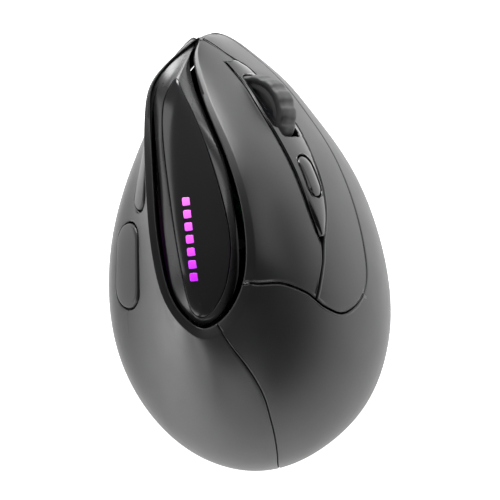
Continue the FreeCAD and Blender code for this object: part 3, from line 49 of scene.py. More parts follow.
# Stations every half hour of a clock, twelve at the nose and three on the finger side: widest
# outline x y, flange edge x y z, scoop share, flange width, ring offset, window outline x y (mm).
STATIONS = np.array([
    (-11.0, 60.3, -13.0, 56.5, 42.0, 0.35, 0.3, 0.8, -18.7, 44.9),
    (-4.4, 59.1, -13.7, 52.1, 45.0, 0.0, 1.3, 1.9, -17.4, 41.8),
    (3.5, 53.2, -12.3, 46.0, 49.0, 0.0, 1.6, 2.8, -15.8, 38.7),
    (10.8, 47.1, -9.6, 37.7, 54.5, 0.0, 1.8, 3.0, -14.0, 34.8),
    (17.5, 38.9, -5.7, 29.0, 59.5, 0.0, 1.9, 3.2, -11.3, 28.1),
    (24.0, 30.5, -2.4, 20.3, 63.5, 0.0, 2.0, 3.5, -8.9, 20.9),
    (29.6, 21.5, -0.2, 12.0, 65.5, 0.0, 2.0, 4.1, -6.7, 13.3),
    (34.1, 11.1, 1.1, 4.0, 66.0, 0.0, 2.2, 4.3, -5.1, 6.2),
    (37.7, -1.5, 1.3, -2.3, 65.5, 0.0, 2.3, 4.3, -4.7, 0.7),
    (39.4, -15.6, 0.6, -8.0, 64.0, 0.0, 2.4, 4.1, -5.2, -4.8),
    (37.4, -30.7, -1.2, -13.3, 62.5, 0.0, 2.6, 4.1, -6.5, -9.9),
    (29.3, -46.8, -3.7, -17.4, 61.0, 0.0, 2.8, 4.0, -8.8, -13.9),
    (9.9, -60.0, -7.0, -20.2, 59.5, 0.0, 2.7, 3.7, -10.8, -16.0),
    (-9.8, -58.6, -11.6, -21.8, 58.2, 0.05, 2.5, 3.3, -13.1, -16.2),
    (-24.9, -48.4, -15.6, -20.0, 57.6, 0.3, 2.3, 2.8, -15.2, -14.0),
    (-34.8, -33.5, -19.9, -15.5, 57.7, 0.65, 2.1, 2.8, -16.6, -7.9),
    (-39.0, -17.8, -23.0, -8.9, 58.3, 0.9, 2.1, 3.2, -18.0, -0.8),
    (-39.3, -2.6, -24.7, -0.8, 59.0, 1.0, 2.1, 3.7, -19.2, 6.3),
    (-37.3, 10.3, -25.7, 6.8, 59.5, 1.0, 2.0, 3.7, -20.2, 13.4),
    (-33.6, 22.1, -26.3, 15.9, 59.0, 1.0, 2.0, 3.6, -21.2, 20.5),
    (-28.9, 33.3, -26.8, 26.1, 57.5, 1.0, 1.9, 3.0, -22.0, 27.4),
    (-24.4, 42.9, -26.7, 35.9, 54.5, 0.95, 1.3, 2.2, -22.4, 34.0),
    (-19.6, 50.2, -25.5, 43.3, 51.5, 0.85, 0.7, 1.0, -21.9, 39.1),
    (-14.5, 55.8, -20.6, 49.8, 47.5, 0.65, 0.4, 0.8, -20.6, 42.2),
])
COUNT = len(STATIONS)
TUCK = 2.5
LIFT = 1.0
WALL = 1.8


def linear(code):
    """An sRGB hex colour as linear values with full alpha."""
    channels = [int(code[i:i + 2], 16) / 255.0 for i in (1, 3, 5)]
    return [c / 12.92 if c <= 0.04045 else ((c + 0.055) / 1.055) ** 2.4 for c in channels] + [1.0]


def add(tree, kind, inputs=(), **settings):
    """One shader node with its settings; an input is a value or another node's output."""
    shader_node = tree.nodes.new(kind)
    for key, setting in settings.items():
        setattr(shader_node, key, setting)
    for key, feed in dict(inputs).items():
        if isinstance(feed, bpy.types.NodeSocket):
            tree.links.new(feed, shader_node.inputs[key])
        else:
            shader_node.inputs[key].default_value = feed
    return shader_node


def new_material(name):
    """A material with its shader, ready for more nodes."""
    material = bpy.data.materials.new(name)
    material.use_nodes = True
    tree = material.node_tree
    return material, tree, tree.nodes["Principled BSDF"]


def moulded(name, colour, pale, roughness, swing, grain_mm, relief_mm, wave_mm=9.0):
    """Moulded plastic: an eroded grain of a given size and depth, a colour that wanders between
    two near tones over centimetres, and a gloss that wanders with it."""
    material, tree, shader = new_material(name)
    place = add(tree, "ShaderNodeTexCoord").outputs["Object"]
    grain = add(tree, "ShaderNodeTexNoise",
                {"Vector": place, "Scale": 1000.0 / grain_mm, "Detail": 3.0, "Roughness": 0.6})
    drift = add(tree, "ShaderNodeTexNoise",
                {"Vector": place, "Scale": 1000.0 / wave_mm, "Detail": 2.0})
    tone = add(tree, "ShaderNodeValToRGB", {"Fac": drift.outputs["Fac"]})
    tone.color_ramp.elements[0].position = 0.3
    tone.color_ramp.elements[0].color = linear(colour)
    tone.color_ramp.elements[1].position = 0.7
    tone.color_ramp.elements[1].color = linear(pale)
    gloss = add(tree, "ShaderNodeMapRange",
                {"Value": drift.outputs["Fac"], "From Min": 0.3, "From Max": 0.7,
                 "To Min": roughness - swing, "To Max": roughness + swing})
    relief = add(tree, "ShaderNodeBump",
                 {"Height": grain.outputs["Fac"], "Distance": relief_mm * 0.001, "Strength": 1.0})
    tree.links.new(tone.outputs["Color"], shader.inputs["Base Color"])
    tree.links.new(gloss.outputs["Result"], shader.inputs["Roughness"])
    tree.links.new(relief.outputs["Normal"], shader.inputs["Normal"])
    return material


# ABS under a soft-touch coat: near black, even, with a broad dull sheen. The coat's grain is
# under 0.1 mm and is drawn at 0.5 mm to show.
soft_touch = moulded("soft-touch ABS", "#1e1e1f", "#212122", 0.4, 0.02, 0.5, 0.003)
soft_touch.node_tree.nodes["Principled BSDF"].inputs["IOR"].default_value = 1.5


def unit(vectors):
    """Each vector over its own length."""
    return vectors / np.maximum(np.linalg.norm(vectors, axis=-1, keepdims=True), 1e-12)


def mitred_inward(points):
    """Inward directions of a clockwise outline: the sum of the two sides' normals over one plus
    their product, so that an even step keeps an even margin."""
    step = unit((np.roll(points, -1, 0) - points)[:, :2])
    ahead = np.column_stack([step[:, 1], -step[:, 0], np.zeros(len(step))])
    behind = np.roll(ahead, 1, 0)
    return (ahead + behind) / (1.0 + np.sum(ahead * behind, 1, keepdims=True))


def through_stations(row):
    """Control points of the closed cubic through a row: each less a sixth of its second
    difference."""
    return row - (np.roll(row, 1, 0) - 2 * row + np.roll(row, -1, 0)) / 6.0


def side_rows():
    """Rows of control points up the body, from the desk line to the flange edge."""
    outline = np.column_stack([STATIONS[:, :2], np.zeros(COUNT)])
    edge = STATIONS[:, 2:5]
    scoop = STATIONS[:, 5:6]
    reach = (edge - outline) * (1, 1, 0)
    step = unit(reach)
    top = edge[:, 2:3]
    levels = [
        (step * TUCK, LIFT + 0 * top),
        (step * 0.15, LIFT + 0.8 + 0 * top),
        (0 * step, 13.0 + scoop),
        (reach * (0.12 + 0.33 * scoop), 0.45 * top * (1 - scoop) + 19.5 * scoop),
        (reach * (0.46 + 0.64 * scoop), 0.79 * top * (1 - scoop) + 36.0 * scoop),
        (reach * (0.80 + 0.26 * scoop), top - 2.5 - 7.5 * scoop),
        (reach, top),
    ]
    up = np.array([0, 0, 1.0])
    return np.array([through_stations(outline + shift + height * up) for shift, height in levels])


SIDE_ROWS = side_rows()
FLANGE = STATIONS[:, 2:5]
FLANGE_INWARD = mitred_inward(FLANGE)
FLANGE_ROW = through_stations(FLANGE)
FLANGE_INNER_ROW = through_stations(FLANGE + FLANGE_INWARD * STATIONS[:, 6:7])
RISE_KNOTS = np.array([0, 0, 0, 0, 0.25, 0.5, 0.75, 1, 1, 1, 1.0])


def round_row(row, clock):
    """A point of a closed uniform cubic at an hour of the clock."""
    share = (clock % 12.0) * COUNT / 12.0
    first = np.floor(share).astype(int)
    t = (share - first)[..., None]
    weights = ((1 - t) ** 3, 3 * t ** 3 - 6 * t ** 2 + 4, 1 + 3 * t + 3 * t ** 2 - 3 * t ** 3, t ** 3)
    return sum(w * row[(first + k - 1) % COUNT] for k, w in enumerate(weights)) / 6.0


def rise_weights(rise):
    """Weights of the seven rows at a height from 0 to 1, by the clamped cubic's recurrence."""
    h = np.clip(rise, 0, 1 - 1e-9)
    basis = [((h >= a) & (h < b)) * 1.0 for a, b in zip(RISE_KNOTS[:-1], RISE_KNOTS[1:])]
    for degree in (1, 2, 3):
        following = []
        for i in range(len(basis) - 1):
            low = RISE_KNOTS[i + degree] - RISE_KNOTS[i]
            high = RISE_KNOTS[i + degree + 1] - RISE_KNOTS[i + 1]
            rising = (h - RISE_KNOTS[i]) / low * basis[i] if low > 0 else 0
            falling = (RISE_KNOTS[i + degree + 1] - h) / high * basis[i + 1] if high > 0 else 0
            following.append(rising + falling)
        basis = following
    return basis


def side_point(clock, rise):
    """The body's side: rows round the clock, blended by height."""
    return sum(w[..., None] * round_row(row, clock) for w, row in zip(rise_weights(rise), SIDE_ROWS))


EDGE_BELOW = 0.005
EDGE_ABOVE = 0.07


def body_skin(clock, height):
    """The side up to height 1, then the flange to height 2. Round the edge between them it is a
    parabola from the side to the flange with the edge as its middle control point."""
    clock, height = np.broadcast_arrays(np.asarray(clock, float), np.asarray(height, float))
    edge = round_row(FLANGE_ROW, clock)
    across = round_row(FLANGE_INNER_ROW, clock) - edge
    side = side_point(clock, np.minimum(height, 1.0))
    flange = edge + across * np.clip(height - 1.0, 0, 1)[..., None]
    start = side_point(clock, np.full(clock.shape, 1.0 - EDGE_BELOW))
    end = edge + across * EDGE_ABOVE
    t = np.clip((height - 1.0 + EDGE_BELOW) / (EDGE_BELOW + EDGE_ABOVE), 0, 1)[..., None]
    rounded = (1 - t) ** 2 * start + 2 * t * (1 - t) * edge + t ** 2 * end
    low = (height < 1.0 - EDGE_BELOW)[..., None]
    high = (height > 1.0 + EDGE_ABOVE)[..., None]
    return np.where(low, side, np.where(high, flange, rounded))


def skin_normal(clock, height):
    """The outward normal: the cross product of small steps up and round the body."""
    clock, height = np.broadcast_arrays(np.asarray(clock, float), np.asarray(height, float))
    step = 2e-3
    low, high = np.clip(height - step, 0, 2), np.clip(height + step, 0, 2)
    round_step = body_skin(clock + 0.01, height) - body_skin(clock - 0.01, height)
    up_step = body_skin(clock, high) - body_skin(clock, low)
    return unit(np.cross(up_step, round_step))


def run(places, first=0, last=None, count=600):
    """A smooth line through places given as clock and height, from one of them to another: a
    Catmull-Rom cubic between each pair, dense enough to be shared out by length later."""
    p = np.array(places, float)
    p = np.vstack([2 * p[0] - p[1], p, 2 * p[-1] - p[-2]])
    t = np.linspace(first, len(places) - 1 if last is None else last, count)
    i = np.minimum(t.astype(int), len(places) - 2)
    t = (t - i)[:, None]
    a, b, c, d = p[i], p[i + 1], p[i + 2], p[i + 3]
    return 0.5 * (2 * b + (c - a) * t + (2 * a - 5 * b + 4 * c - d) * t ** 2
                  + (3 * b - a - 3 * c + d) * t ** 3)


def share_out(line, count, weights=None):
    """Points evenly spaced by real length along a dense line of clock and height."""
    place = body_skin(line[:, 0], line[:, 1])
    length = np.concatenate([[0], np.cumsum(np.linalg.norm(np.diff(place, axis=0), axis=1))])
    marks = np.linspace(0, length[-1], count) if weights is None else weights * length[-1]
    return np.column_stack([np.interp(marks, length, line[:, 0]), np.interp(marks, length, line[:, 1])])


def between(low, high, shares):
    """A ruled patch: rows at the given shares from a low line to a high one."""
    s = np.asarray(shares)[:, None, None]
    return low[None] * (1 - s) + high[None] * s


def four_sided(low, high, left, right):
    """A Coons patch: the two ruled patches less the bilinear one of the corners."""
    s = np.linspace(0, 1, low.shape[0])[None, :, None]
    t = np.linspace(0, 1, left.shape[0])[:, None, None]
    ruled = low[None] * (1 - t) + high[None] * t + left[:, None] * (1 - s) + right[:, None] * s
    corners = ((low[0] * (1 - t) + high[0] * t) * (1 - s) + (low[-1] * (1 - t) + high[-1] * t) * s)
    return ruled - corners


def grid_quads(index):
    """The quads of a rectangular array of vertex numbers."""
    return np.stack([index[:-1, :-1], index[:-1, 1:], index[1:, 1:], index[1:, :-1]], -1).reshape(-1, 4)


def border(index):
    """The vertex numbers round a rectangular array, once each."""
    return np.concatenate([index[0, :-1], index[:-1, -1], index[-1, :0:-1], index[:0:-1, 0]])


def rim_gaps(index, bottom, right, top, left):
    """The half gap at each vertex of a rectangular array's border."""
    rows, columns = index.shape
    return np.repeat([bottom, right, top, left], [columns - 1, rows - 1, columns - 1, rows - 1])


def make_mesh(name, points, quads, body):
    """A smooth mesh in metres from points in millimetres, riding on a body."""
    mesh = bpy.data.meshes.new(name)
    mesh.from_pydata((np.asarray(points) * 0.001).tolist(), [], np.asarray(quads).tolist())
    mesh.validate()
    mesh.polygons.foreach_set("use_smooth", np.ones(len(mesh.polygons), bool))
    piece = bpy.data.objects.new(name, mesh)
    bpy.context.scene.collection.objects.link(piece)
    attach(piece, body)
    return piece


def plate_mesh(points, normals, quads, loops, wall, radius):
    """A plate of even wall whose upper edges are rounded. Each loop is a rim with its half gap:
    the rim steps in from it along the skin, bends over a quarter circle and drops down a wall."""
    points = points.copy()
    under = points - normals * wall
    extra, faces = [], [quads, quads[:, ::-1] + len(points)]
    total = 2 * len(points)
    for loop, gap in loops:
        rim = points[loop].copy()
        normal = normals[loop]
        ahead = unit(np.roll(rim, -1, 0) - rim)
        behind = np.roll(ahead, 1, 0)
        side_a, side_b = unit(np.cross(normal, ahead)), unit(np.cross(normal, behind))
        product = np.sum(side_a * side_b, 1, keepdims=True)
        inward = (side_a + side_b) / np.maximum(1.0 + product, 0.55)
        rings = [loop]
        for angle in np.radians((22.5, 45.0, 67.5, 90.0)):
            inset = gap + radius * (1 - math.sin(angle))
            extra.append(rim + inward * inset - normal * (radius * (1 - math.cos(angle))))
            rings.append(np.arange(len(loop)) + total)
            total += len(loop)
        points[loop] = rim + inward * (gap + radius)
        under[loop] = rim + inward * gap - normal * wall
        rings.append(loop + len(points))
        for upper, lower in zip(rings[:-1], rings[1:]):
            faces.append(np.stack([upper, lower, np.roll(lower, -1), np.roll(upper, -1)], -1))
    return np.vstack([points, under] + extra), np.vstack(faces)


def weld(piece):
    """Join vertices that lie on each other."""
    work = bmesh.new()
    work.from_mesh(piece.data)
    bmesh.ops.remove_doubles(work, verts=work.verts, dist=1e-6)
    work.to_mesh(piece.data)
    work.free()


# The two side buttons stand in openings of the thumb slope. Their outlines lie in a frame of the
# slope: forward, down the slope, and outward.
def frame_axes(origin, forward, normal):
    """Origin and axes of a frame whose third axis is a normal and whose first runs forward."""
    normal = unit(np.array(normal))
    forward = unit(forward - normal * forward.dot(normal))
    return np.array(origin), np.array([forward, np.cross(normal, forward), normal])


def turned(place, x, y, degrees=0.0):
    """A frame moved in its own plane and turned about its third axis."""
    origin, axes = place
    c, s = math.cos(math.radians(degrees)), math.sin(math.radians(degrees))
    return (origin + axes[0] * x + axes[1] * y,
            np.array([axes[0] * c + axes[1] * s, axes[1] * c - axes[0] * s, axes[2]]))


def clock_and_rise(place, flat_points, start):
    """Where on the body's side points of a frame's plane lie, by Newton's method from one start:
    the miss in the plane is divided by the slopes of the two small steps."""
    origin, axes = place
    guess = np.tile(np.array(start, float), (len(flat_points), 1))
    for _ in range(14):
        here = (side_point(guess[:, 0], guess[:, 1]) - origin) @ axes[:2].T
        by_clock = ((side_point(guess[:, 0] + 1e-3, guess[:, 1]) - origin) @ axes[:2].T - here) / 1e-3
        by_rise = ((side_point(guess[:, 0], guess[:, 1] + 1e-4) - origin) @ axes[:2].T - here) / 1e-4
        miss = np.asarray(flat_points) - here
        size = by_clock[:, 0] * by_rise[:, 1] - by_clock[:, 1] * by_rise[:, 0]
        clock_step = (miss[:, 0] * by_rise[:, 1] - miss[:, 1] * by_rise[:, 0]) / size
        rise_step = (by_clock[:, 0] * miss[:, 1] - by_clock[:, 1] * miss[:, 0]) / size
        guess[:, 0] += np.clip(clock_step, -0.4, 0.4)
        guess[:, 1] += np.clip(rise_step, -0.05, 0.05)
    return guess


THUMB_FRONT = side_point(np.array(10.0), np.array(0.52))
THUMB_REAR = side_point(np.array(8.2), np.array(0.49))
THUMB = frame_axes(side_point(np.array(9.1), np.array(0.5)), THUMB_FRONT - THUMB_REAR,
                   skin_normal(8.5, 0.5) + skin_normal(9.7, 0.5))
REAR_KEY = turned(THUMB, -14.3, 0.2, 6.0)
FRONT_KEY = turned(THUMB, 11.0, -3.7)
REAR_KEY_SIZE = (23.0, 10.4)
FRONT_KEY_SIZE = (20.0, 7.6)
REAR_KEY_START, FRONT_KEY_START = (8.45, 0.47), (9.7, 0.55)
SIDE_GAP = 0.45


def rounded_edge(length, width, corner, angles):
    """Where rays at given angles from the middle leave a rectangle with round corners."""
    around = np.linspace(0, 2 * math.pi, 1440, endpoint=False) + 1e-4
    x = np.sign(np.cos(around)) * (length / 2 - corner) + corner * np.cos(around)
    y = np.sign(np.sin(around)) * (width / 2 - corner) + corner * np.sin(around)
    x, y = np.append(x, x[0]), np.append(y, y[0])
    swing = np.unwrap(np.arctan2(y, x))
    turns = np.mod(angles - swing[0], 2 * math.pi) + swing[0]
    share = np.interp(turns, swing, np.arange(len(swing)))
    first = np.minimum(share.astype(int), len(x) - 2)
    t = share - first
    ray = np.column_stack([np.cos(angles), np.sin(angles)])
    a, b = np.column_stack([x, y])[first], np.column_stack([x, y])[first + 1]
    step = b - a
    crossing = ray[:, 0] * step[:, 1] - ray[:, 1] * step[:, 0]
    reach = (a[:, 0] * step[:, 1] - a[:, 1] * step[:, 0]) / crossing
    return ray * reach[:, None]


def ring_patch(place, outline, outer_cr, start, shares):
    """Vertices between an opening's outline and a loop of the grid round it, both seen in the
    frame's plane, at the given shares of the way."""
    origin, axes = place
    outer = (side_point(outer_cr[:, 0], outer_cr[:, 1]) - origin) @ axes[:2].T
    return [clock_and_rise(place, outline * (1 - s) + outer * s, start) for s in shares]


def open_grid(index, cr, holes):
    """Take blocks out of a grid and close them round an opening with rings of quads. Returns the
    vertices, quads and the loop of each opening."""
    keep = np.ones((index.shape[0] - 1, index.shape[1] - 1), bool)
    points = [cr]
    total = len(cr)
    faces, rims = [], []
    for place, outline_of, (row_a, row_b, col_a, col_b), start, shares in holes:
        keep[row_a:row_b, col_a:col_b] = False
        loop = border(index[row_a:row_b + 1, col_a:col_b + 1])
        origin, axes = place
        flat = (side_point(cr[loop, 0], cr[loop, 1]) - origin) @ axes[:2].T
        outline = outline_of(flat)
        outer = loop
        rings = ring_patch(place, outline, cr[loop], start, shares)
        numbers = []
        for ring in rings:
            points.append(ring)
            numbers.append(np.arange(len(ring)) + total)
            total += len(ring)
        numbers.append(outer)
        for inner, outside in zip(numbers[:-1], numbers[1:]):
            faces.append(np.stack([inner, np.roll(inner, -1), np.roll(outside, -1), outside], -1))
        rims.append(numbers[0])
    quads = grid_quads(index)[keep.reshape(-1)]
    return np.vstack(points), np.vstack([quads] + faces), rims


def facing(points, quads, normals):
    """Turn quads round where they face against the outward normals."""
    a, b, c = points[quads[:, 0]], points[quads[:, 1]], points[quads[:, 2]]
    wrong = np.sum(np.cross(b - a, c - a) * normals[quads].mean(1), 1) < 0
    return np.where(wrong[:, None], quads[:, ::-1], quads)


def left_hand(loop, gap, quads):
    """Order a rim as the quads beside it run, so that the plate lies on its left; the half gaps
    go with their vertices."""
    gap = np.array(np.broadcast_to(gap, len(loop)), float)[:, None]
    edges = np.vstack([quads[:, [i, (i + 1) % 4]] for i in range(4)])
    right_way = np.any(np.all(edges == loop[:2], 1))
    return (loop, gap) if right_way else (loop[::-1], gap[::-1])


def add_plate(name, cr, quads, loops, body, wall=WALL, radius=0.35, lift=None):
    """A moulded plate on the body's skin from places given as clock and height."""
    points, normals = body_skin(cr[:, 0], cr[:, 1]), skin_normal(cr[:, 0], cr[:, 1])
    if lift is not None:
        points = points + lift
    quads = facing(points, quads, normals)
    rims = [left_hand(loop, gap, quads) for loop, gap in loops]
    points, faces = plate_mesh(points, normals, quads, rims, wall, radius)
    return make_mesh(name, points, faces, body)


# The edge of the main buttons: down the nose from the flange, back along the crease and up the
# wave at the rear. Numbers name its corners.
FINGER_EDGE = [(0.1, 1.0), (0.1, 0.955), (0.1, 0.75), (0.12, 0.6), (0.2, 0.5), (0.4, 0.44), (0.8, 0.41),
               (1.4, 0.42), (2.22, 0.445), (3.04, 0.495), (3.75, 0.525), (4.14, 0.545), (4.37, 0.58),
               (4.52, 0.625), (4.64, 0.69), (4.61, 0.76), (4.54, 0.8), (4.46, 0.838), (4.38, 0.92),
               (4.46, 0.986)]
DIVIDER_FRONT, NOSE_CORNER, FRONT_SEAM, CREASE_END, DIVIDER_REAR = 1, 4, 6, 12, 16
WAVE_INSIDE = 4.53
REAR_SEAM = [(6.03, 0.0), (6.04, 0.3), (6.0, 0.5), (5.93, 0.68), (5.87, 0.8), (5.88, 0.9), (5.99, 1.0),
             (5.99, 1.05)]
SEAM_GAP = 0.1
BUTTON_GAP = 0.25
RIM_SHARES = (0.0, 0.16, 0.4, 0.7)
COLUMNS = 190
low = share_out(np.column_stack([np.linspace(6.03, 12.8, 800), np.zeros(800)]), COLUMNS)
high = share_out(np.column_stack([np.linspace(5.99, 12.1, 800), np.full(800, 2.0)]), COLUMNS)
EDGE_HEIGHTS = np.concatenate([1.0 - EDGE_BELOW + (EDGE_BELOW + EDGE_ABOVE) * np.linspace(0, 1, 8),
                               [1.5, 1.75, 2.0]])
# The grid has closer rows where the front seam bends towards the nose.
BEND_HEIGHTS = [0.413, 0.42, 0.428, 0.436, 0.445, 0.455, 0.468]
side_heights = np.concatenate([np.linspace(0, 0.975, 50), BEND_HEIGHTS, EDGE_HEIGHTS])
side_heights.sort()


def at_heights(line, heights):
    """The places of a rising line at given heights."""
    return np.column_stack([np.interp(heights, line[:, 1], line[:, 0]), heights])


rear_edge = at_heights(run(REAR_SEAM), side_heights)
nose_edge = np.vstack([[(0.8, 0.0)], run(FINGER_EDGE, 0, FRONT_SEAM)[::-1], [(0.1, 2.0)]])
nose_edge = at_heights(nose_edge, side_heights)
nose_edge[:, 0] += 12.0
shell_cr = four_sided(low, high, rear_edge, nose_edge)
index = np.arange(shell_cr.shape[0] * shell_cr.shape[1]).reshape(shell_cr.shape[:2])
flat_cr = shell_cr.reshape(-1, 2)
flat_points = body_skin(flat_cr[:, 0], flat_cr[:, 1])


def block_round(points, index, place, size, margin):
    """Rows and columns of the grid whose points lie within a margin round an opening."""
    origin, axes = place
    near = (points - origin) @ axes.T
    inside = ((np.abs(near[:, 0]) < size[0] / 2 + margin) & (np.abs(near[:, 1]) < size[1] / 2 + margin)
              & (np.abs(near[:, 2]) < 9))
    rows, columns = np.where(inside.reshape(index.shape))
    return rows.min(), rows.max(), columns.min(), columns.max()


def opening(size, corner, gap=SIDE_GAP):
    """The outline of an opening, as a function of the loop of vertices round it."""
    def outline(flat):
        angles = np.arctan2(flat[:, 1], flat[:, 0])
        return rounded_edge(size[0] + 2 * gap, size[1] + 2 * gap, corner, angles)
    return outline


KEY_MARGIN = 1.6
openings = []
for place, size, start in ((REAR_KEY, REAR_KEY_SIZE, REAR_KEY_START),
                           (FRONT_KEY, FRONT_KEY_SIZE, FRONT_KEY_START)):
    block = block_round(flat_points, index, place, size, KEY_MARGIN)
    openings.append((place, opening(size, size[1] / 2 + SIDE_GAP), block, start, RIM_SHARES))
# The charging socket looks out of the nose through a third opening.
port_low, port_high = [np.array(corner) * 1000 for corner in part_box("usb_port")]
PORT_SIZE = (port_high[0] - port_low[0], port_high[2] - port_low[2])
PORT_GAP = 0.35
PORT_MARGIN = 1.2
PORT_START = (12.3, 0.15)
PORT = frame_axes(((port_low[0] + port_high[0]) / 2, port_high[1], (port_low[2] + port_high[2]) / 2),
                  np.array([1.0, 0, 0]), (0, 1.0, 0))
block = block_round(flat_points, index, PORT, PORT_SIZE, PORT_MARGIN)
port_outline = opening(PORT_SIZE, PORT_SIZE[1] / 2 + PORT_GAP, PORT_GAP)
openings.append((PORT, port_outline, block, PORT_START, RIM_SHARES))
shell_cr, shell_quads, opening_rims = open_grid(index, flat_cr, openings)
shell_rims = [(border(index), rim_gaps(index, 0.0, SEAM_GAP, 0.0, SEAM_GAP))]
shell_rims += [(rim, 0.0) for rim in opening_rims]
thumb_shell = add_plate("thumb_shell_skin", shell_cr, shell_quads, shell_rims, "case")
thumb_shell.data.materials.append(soft_touch)
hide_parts("thumb_shell")

# Palm-side shell: a second ABS moulding under the main buttons and behind them, from the front
# seam round the finger side to the seam at the tail. Same satin coat; screwed up from the base.
REST_ROWS = 30
WAVE_ROWS = 40
FRONT_COLUMNS = 130
REAR_COLUMNS = 60
FOOT_CLOCK = 4.4


def level(start, end, height, count):
    """A dense level line between two hours, shared out by length."""
    return share_out(np.column_stack([np.linspace(start, end, 400), np.full(400, height)]), count)


corner = np.array(FINGER_EDGE[CREASE_END])
upright = between(np.array([[FOOT_CLOCK, 0.0]]), corner[None], np.linspace(0, 1, REST_ROWS))[:, 0]
front_upright = between(np.array([[0.8, 0.0]]), np.array([FINGER_EDGE[FRONT_SEAM]]),
                        np.linspace(0, 1, REST_ROWS))[:, 0]
crease = share_out(run(FINGER_EDGE, FRONT_SEAM, CREASE_END), FRONT_COLUMNS)
under_fingers = four_sided(level(0.8, FOOT_CLOCK, 0.0, FRONT_COLUMNS), crease, front_upright, upright)
wave = share_out(run(FINGER_EDGE, CREASE_END), WAVE_ROWS)
wave_clocks = np.interp(EDGE_HEIGHTS, [EDGE_HEIGHTS[0], 2.0], [wave[-1, 0], WAVE_INSIDE])
wave_flange = np.column_stack([wave_clocks, EDGE_HEIGHTS])
wave_side = np.vstack([upright, wave[1:], wave_flange[1:]])
tail_side = at_heights(run(REAR_SEAM), wave_side[:, 1])
behind_fingers = four_sided(level(FOOT_CLOCK, REAR_SEAM[0][0], 0.0, REAR_COLUMNS),
                            level(WAVE_INSIDE, 5.99, 2.0, REAR_COLUMNS), wave_side, tail_side)
front_index = np.arange(REST_ROWS * FRONT_COLUMNS).reshape(REST_ROWS, FRONT_COLUMNS)
rear_index = np.arange(behind_fingers.shape[0] * REAR_COLUMNS).reshape(-1, REAR_COLUMNS)
rear_index += front_index.size
rear_index[:REST_ROWS, 0] = front_index[:, -1]
palm_cr = np.vstack([under_fingers.reshape(-1, 2), behind_fingers.reshape(-1, 2)])
palm_quads = np.vstack([grid_quads(front_index), grid_quads(rear_index)])
palm_rim = [(front_index[0, :-1], 0.0), (rear_index[0, :-1], 0.0), (rear_index[:-1, -1], SEAM_GAP),
            (rear_index[-1, :0:-1], 0.0), (rear_index[:REST_ROWS - 1:-1, 0], BUTTON_GAP),
            (front_index[-1, :0:-1], BUTTON_GAP), (front_index[:0:-1, 0], SEAM_GAP)]
palm_loop = np.concatenate([part for part, gap in palm_rim])
palm_gap = np.concatenate([np.full(len(part), gap) for part, gap in palm_rim])
used = np.unique(palm_quads)
renumber = np.zeros(len(palm_cr), int)
renumber[used] = np.arange(len(used))
palm_shell = add_plate("palm_shell_skin", palm_cr[used], renumber[palm_quads],
                       [(renumber[palm_loop], palm_gap)], "case")
palm_shell.data.materials.append(soft_touch)
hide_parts("palm_shell")

# Main buttons: two thin ABS plates over the micro switches, hinged at the rear. The upper one
# carries its own stretch of the flange; a hairline between them leads to the island.
LOWER_LINE = [(0.1, 0.955), (0.23, 0.912), (0.53, 0.81), (0.77, 0.753), (0.97, 0.7), (1.12, 0.655),
              (1.48, 0.63), (2.1, 0.62), (2.43, 0.635), (2.72, 0.655), (3.04, 0.675), (3.41, 0.71),
              (3.74, 0.752), (4.0, 0.769), (4.24, 0.785), (4.54, 0.8)]
FRONT_LINE = [(0.1, 0.955), (0.23, 0.912), (0.53, 0.81), (0.77, 0.753), (0.962, 0.71)]
STEP_LINE = [(0.962, 0.71), (0.948, 0.76), (0.925, 0.808)]
UPPER_LINE = [(0.925, 0.808), (1.39, 0.782), (1.81, 0.785), (2.69, 0.785), (3.25, 0.783), (3.6, 0.772),
              (3.77, 0.762), (4.0, 0.769), (4.24, 0.785), (4.54, 0.8)]
BUTTON_ROWS = 34
PRESS_ROOM = 0.3
NOSE_ROOM = 0.2
BUTTON_WALL = 1.2
FRONT_COUNT, STEP_COUNT, ISLAND_COUNT = 40, 9, 110
ROOMY_COUNT = 80
left_low = np.vstack([share_out(run(FRONT_LINE), FRONT_COUNT), share_out(run(STEP_LINE), STEP_COUNT)[1:],
                      share_out(run(UPPER_LINE), ISLAND_COUNT)[1:]])
edge_start = EDGE_HEIGHTS[0]
wave_top = FINGER_EDGE[-1][0]
left_high = np.vstack([level(0.1, 0.86, edge_start, FRONT_COUNT),
                       level(0.86, 0.97, edge_start, STEP_COUNT)[1:],
                       level(0.97, wave_top, edge_start, ISLAND_COUNT)[1:]])
left_nose = between(left_low[:1], left_high[:1], np.linspace(0, 1, BUTTON_ROWS))[:, 0]
left_wave = share_out(run(FINGER_EDGE, DIVIDER_REAR), BUTTON_ROWS)
left_side = four_sided(left_low, left_high, left_nose, left_wave)
inside_clock = left_high[:, 0] + (left_high[:, 0] - 0.1) / (wave_top - 0.1) * (WAVE_INSIDE - wave_top)
left_flange = between(left_high, np.column_stack([inside_clock, np.full(len(inside_clock), 2.0)]),
                      (EDGE_HEIGHTS[1:] - edge_start) / (2.0 - edge_start))
left_cr = np.vstack([left_side, left_flange])
left_index = np.arange(left_cr.shape[0] * left_cr.shape[1]).reshape(left_cr.shape[:2])
# Towards the nose, where a press moves it most, its edges keep more room.
left_gap = rim_gaps(left_index, BUTTON_GAP, BUTTON_GAP, 0.0, BUTTON_GAP + NOSE_ROOM)
left_gap[:FRONT_COUNT] += np.linspace(PRESS_ROOM, 0, FRONT_COUNT)
flange_front = len(left_gap) - left_index.shape[0] + 1
left_gap[flange_front - ROOMY_COUNT:flange_front] += np.linspace(0, PRESS_ROOM, ROOMY_COUNT)
left_button = add_plate("left_button_plate", left_cr.reshape(-1, 2), grid_quads(left_index),
                        [(border(left_index), left_gap)], "left_click", BUTTON_WALL)
left_button.data.materials.append(soft_touch)
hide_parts("left_button")

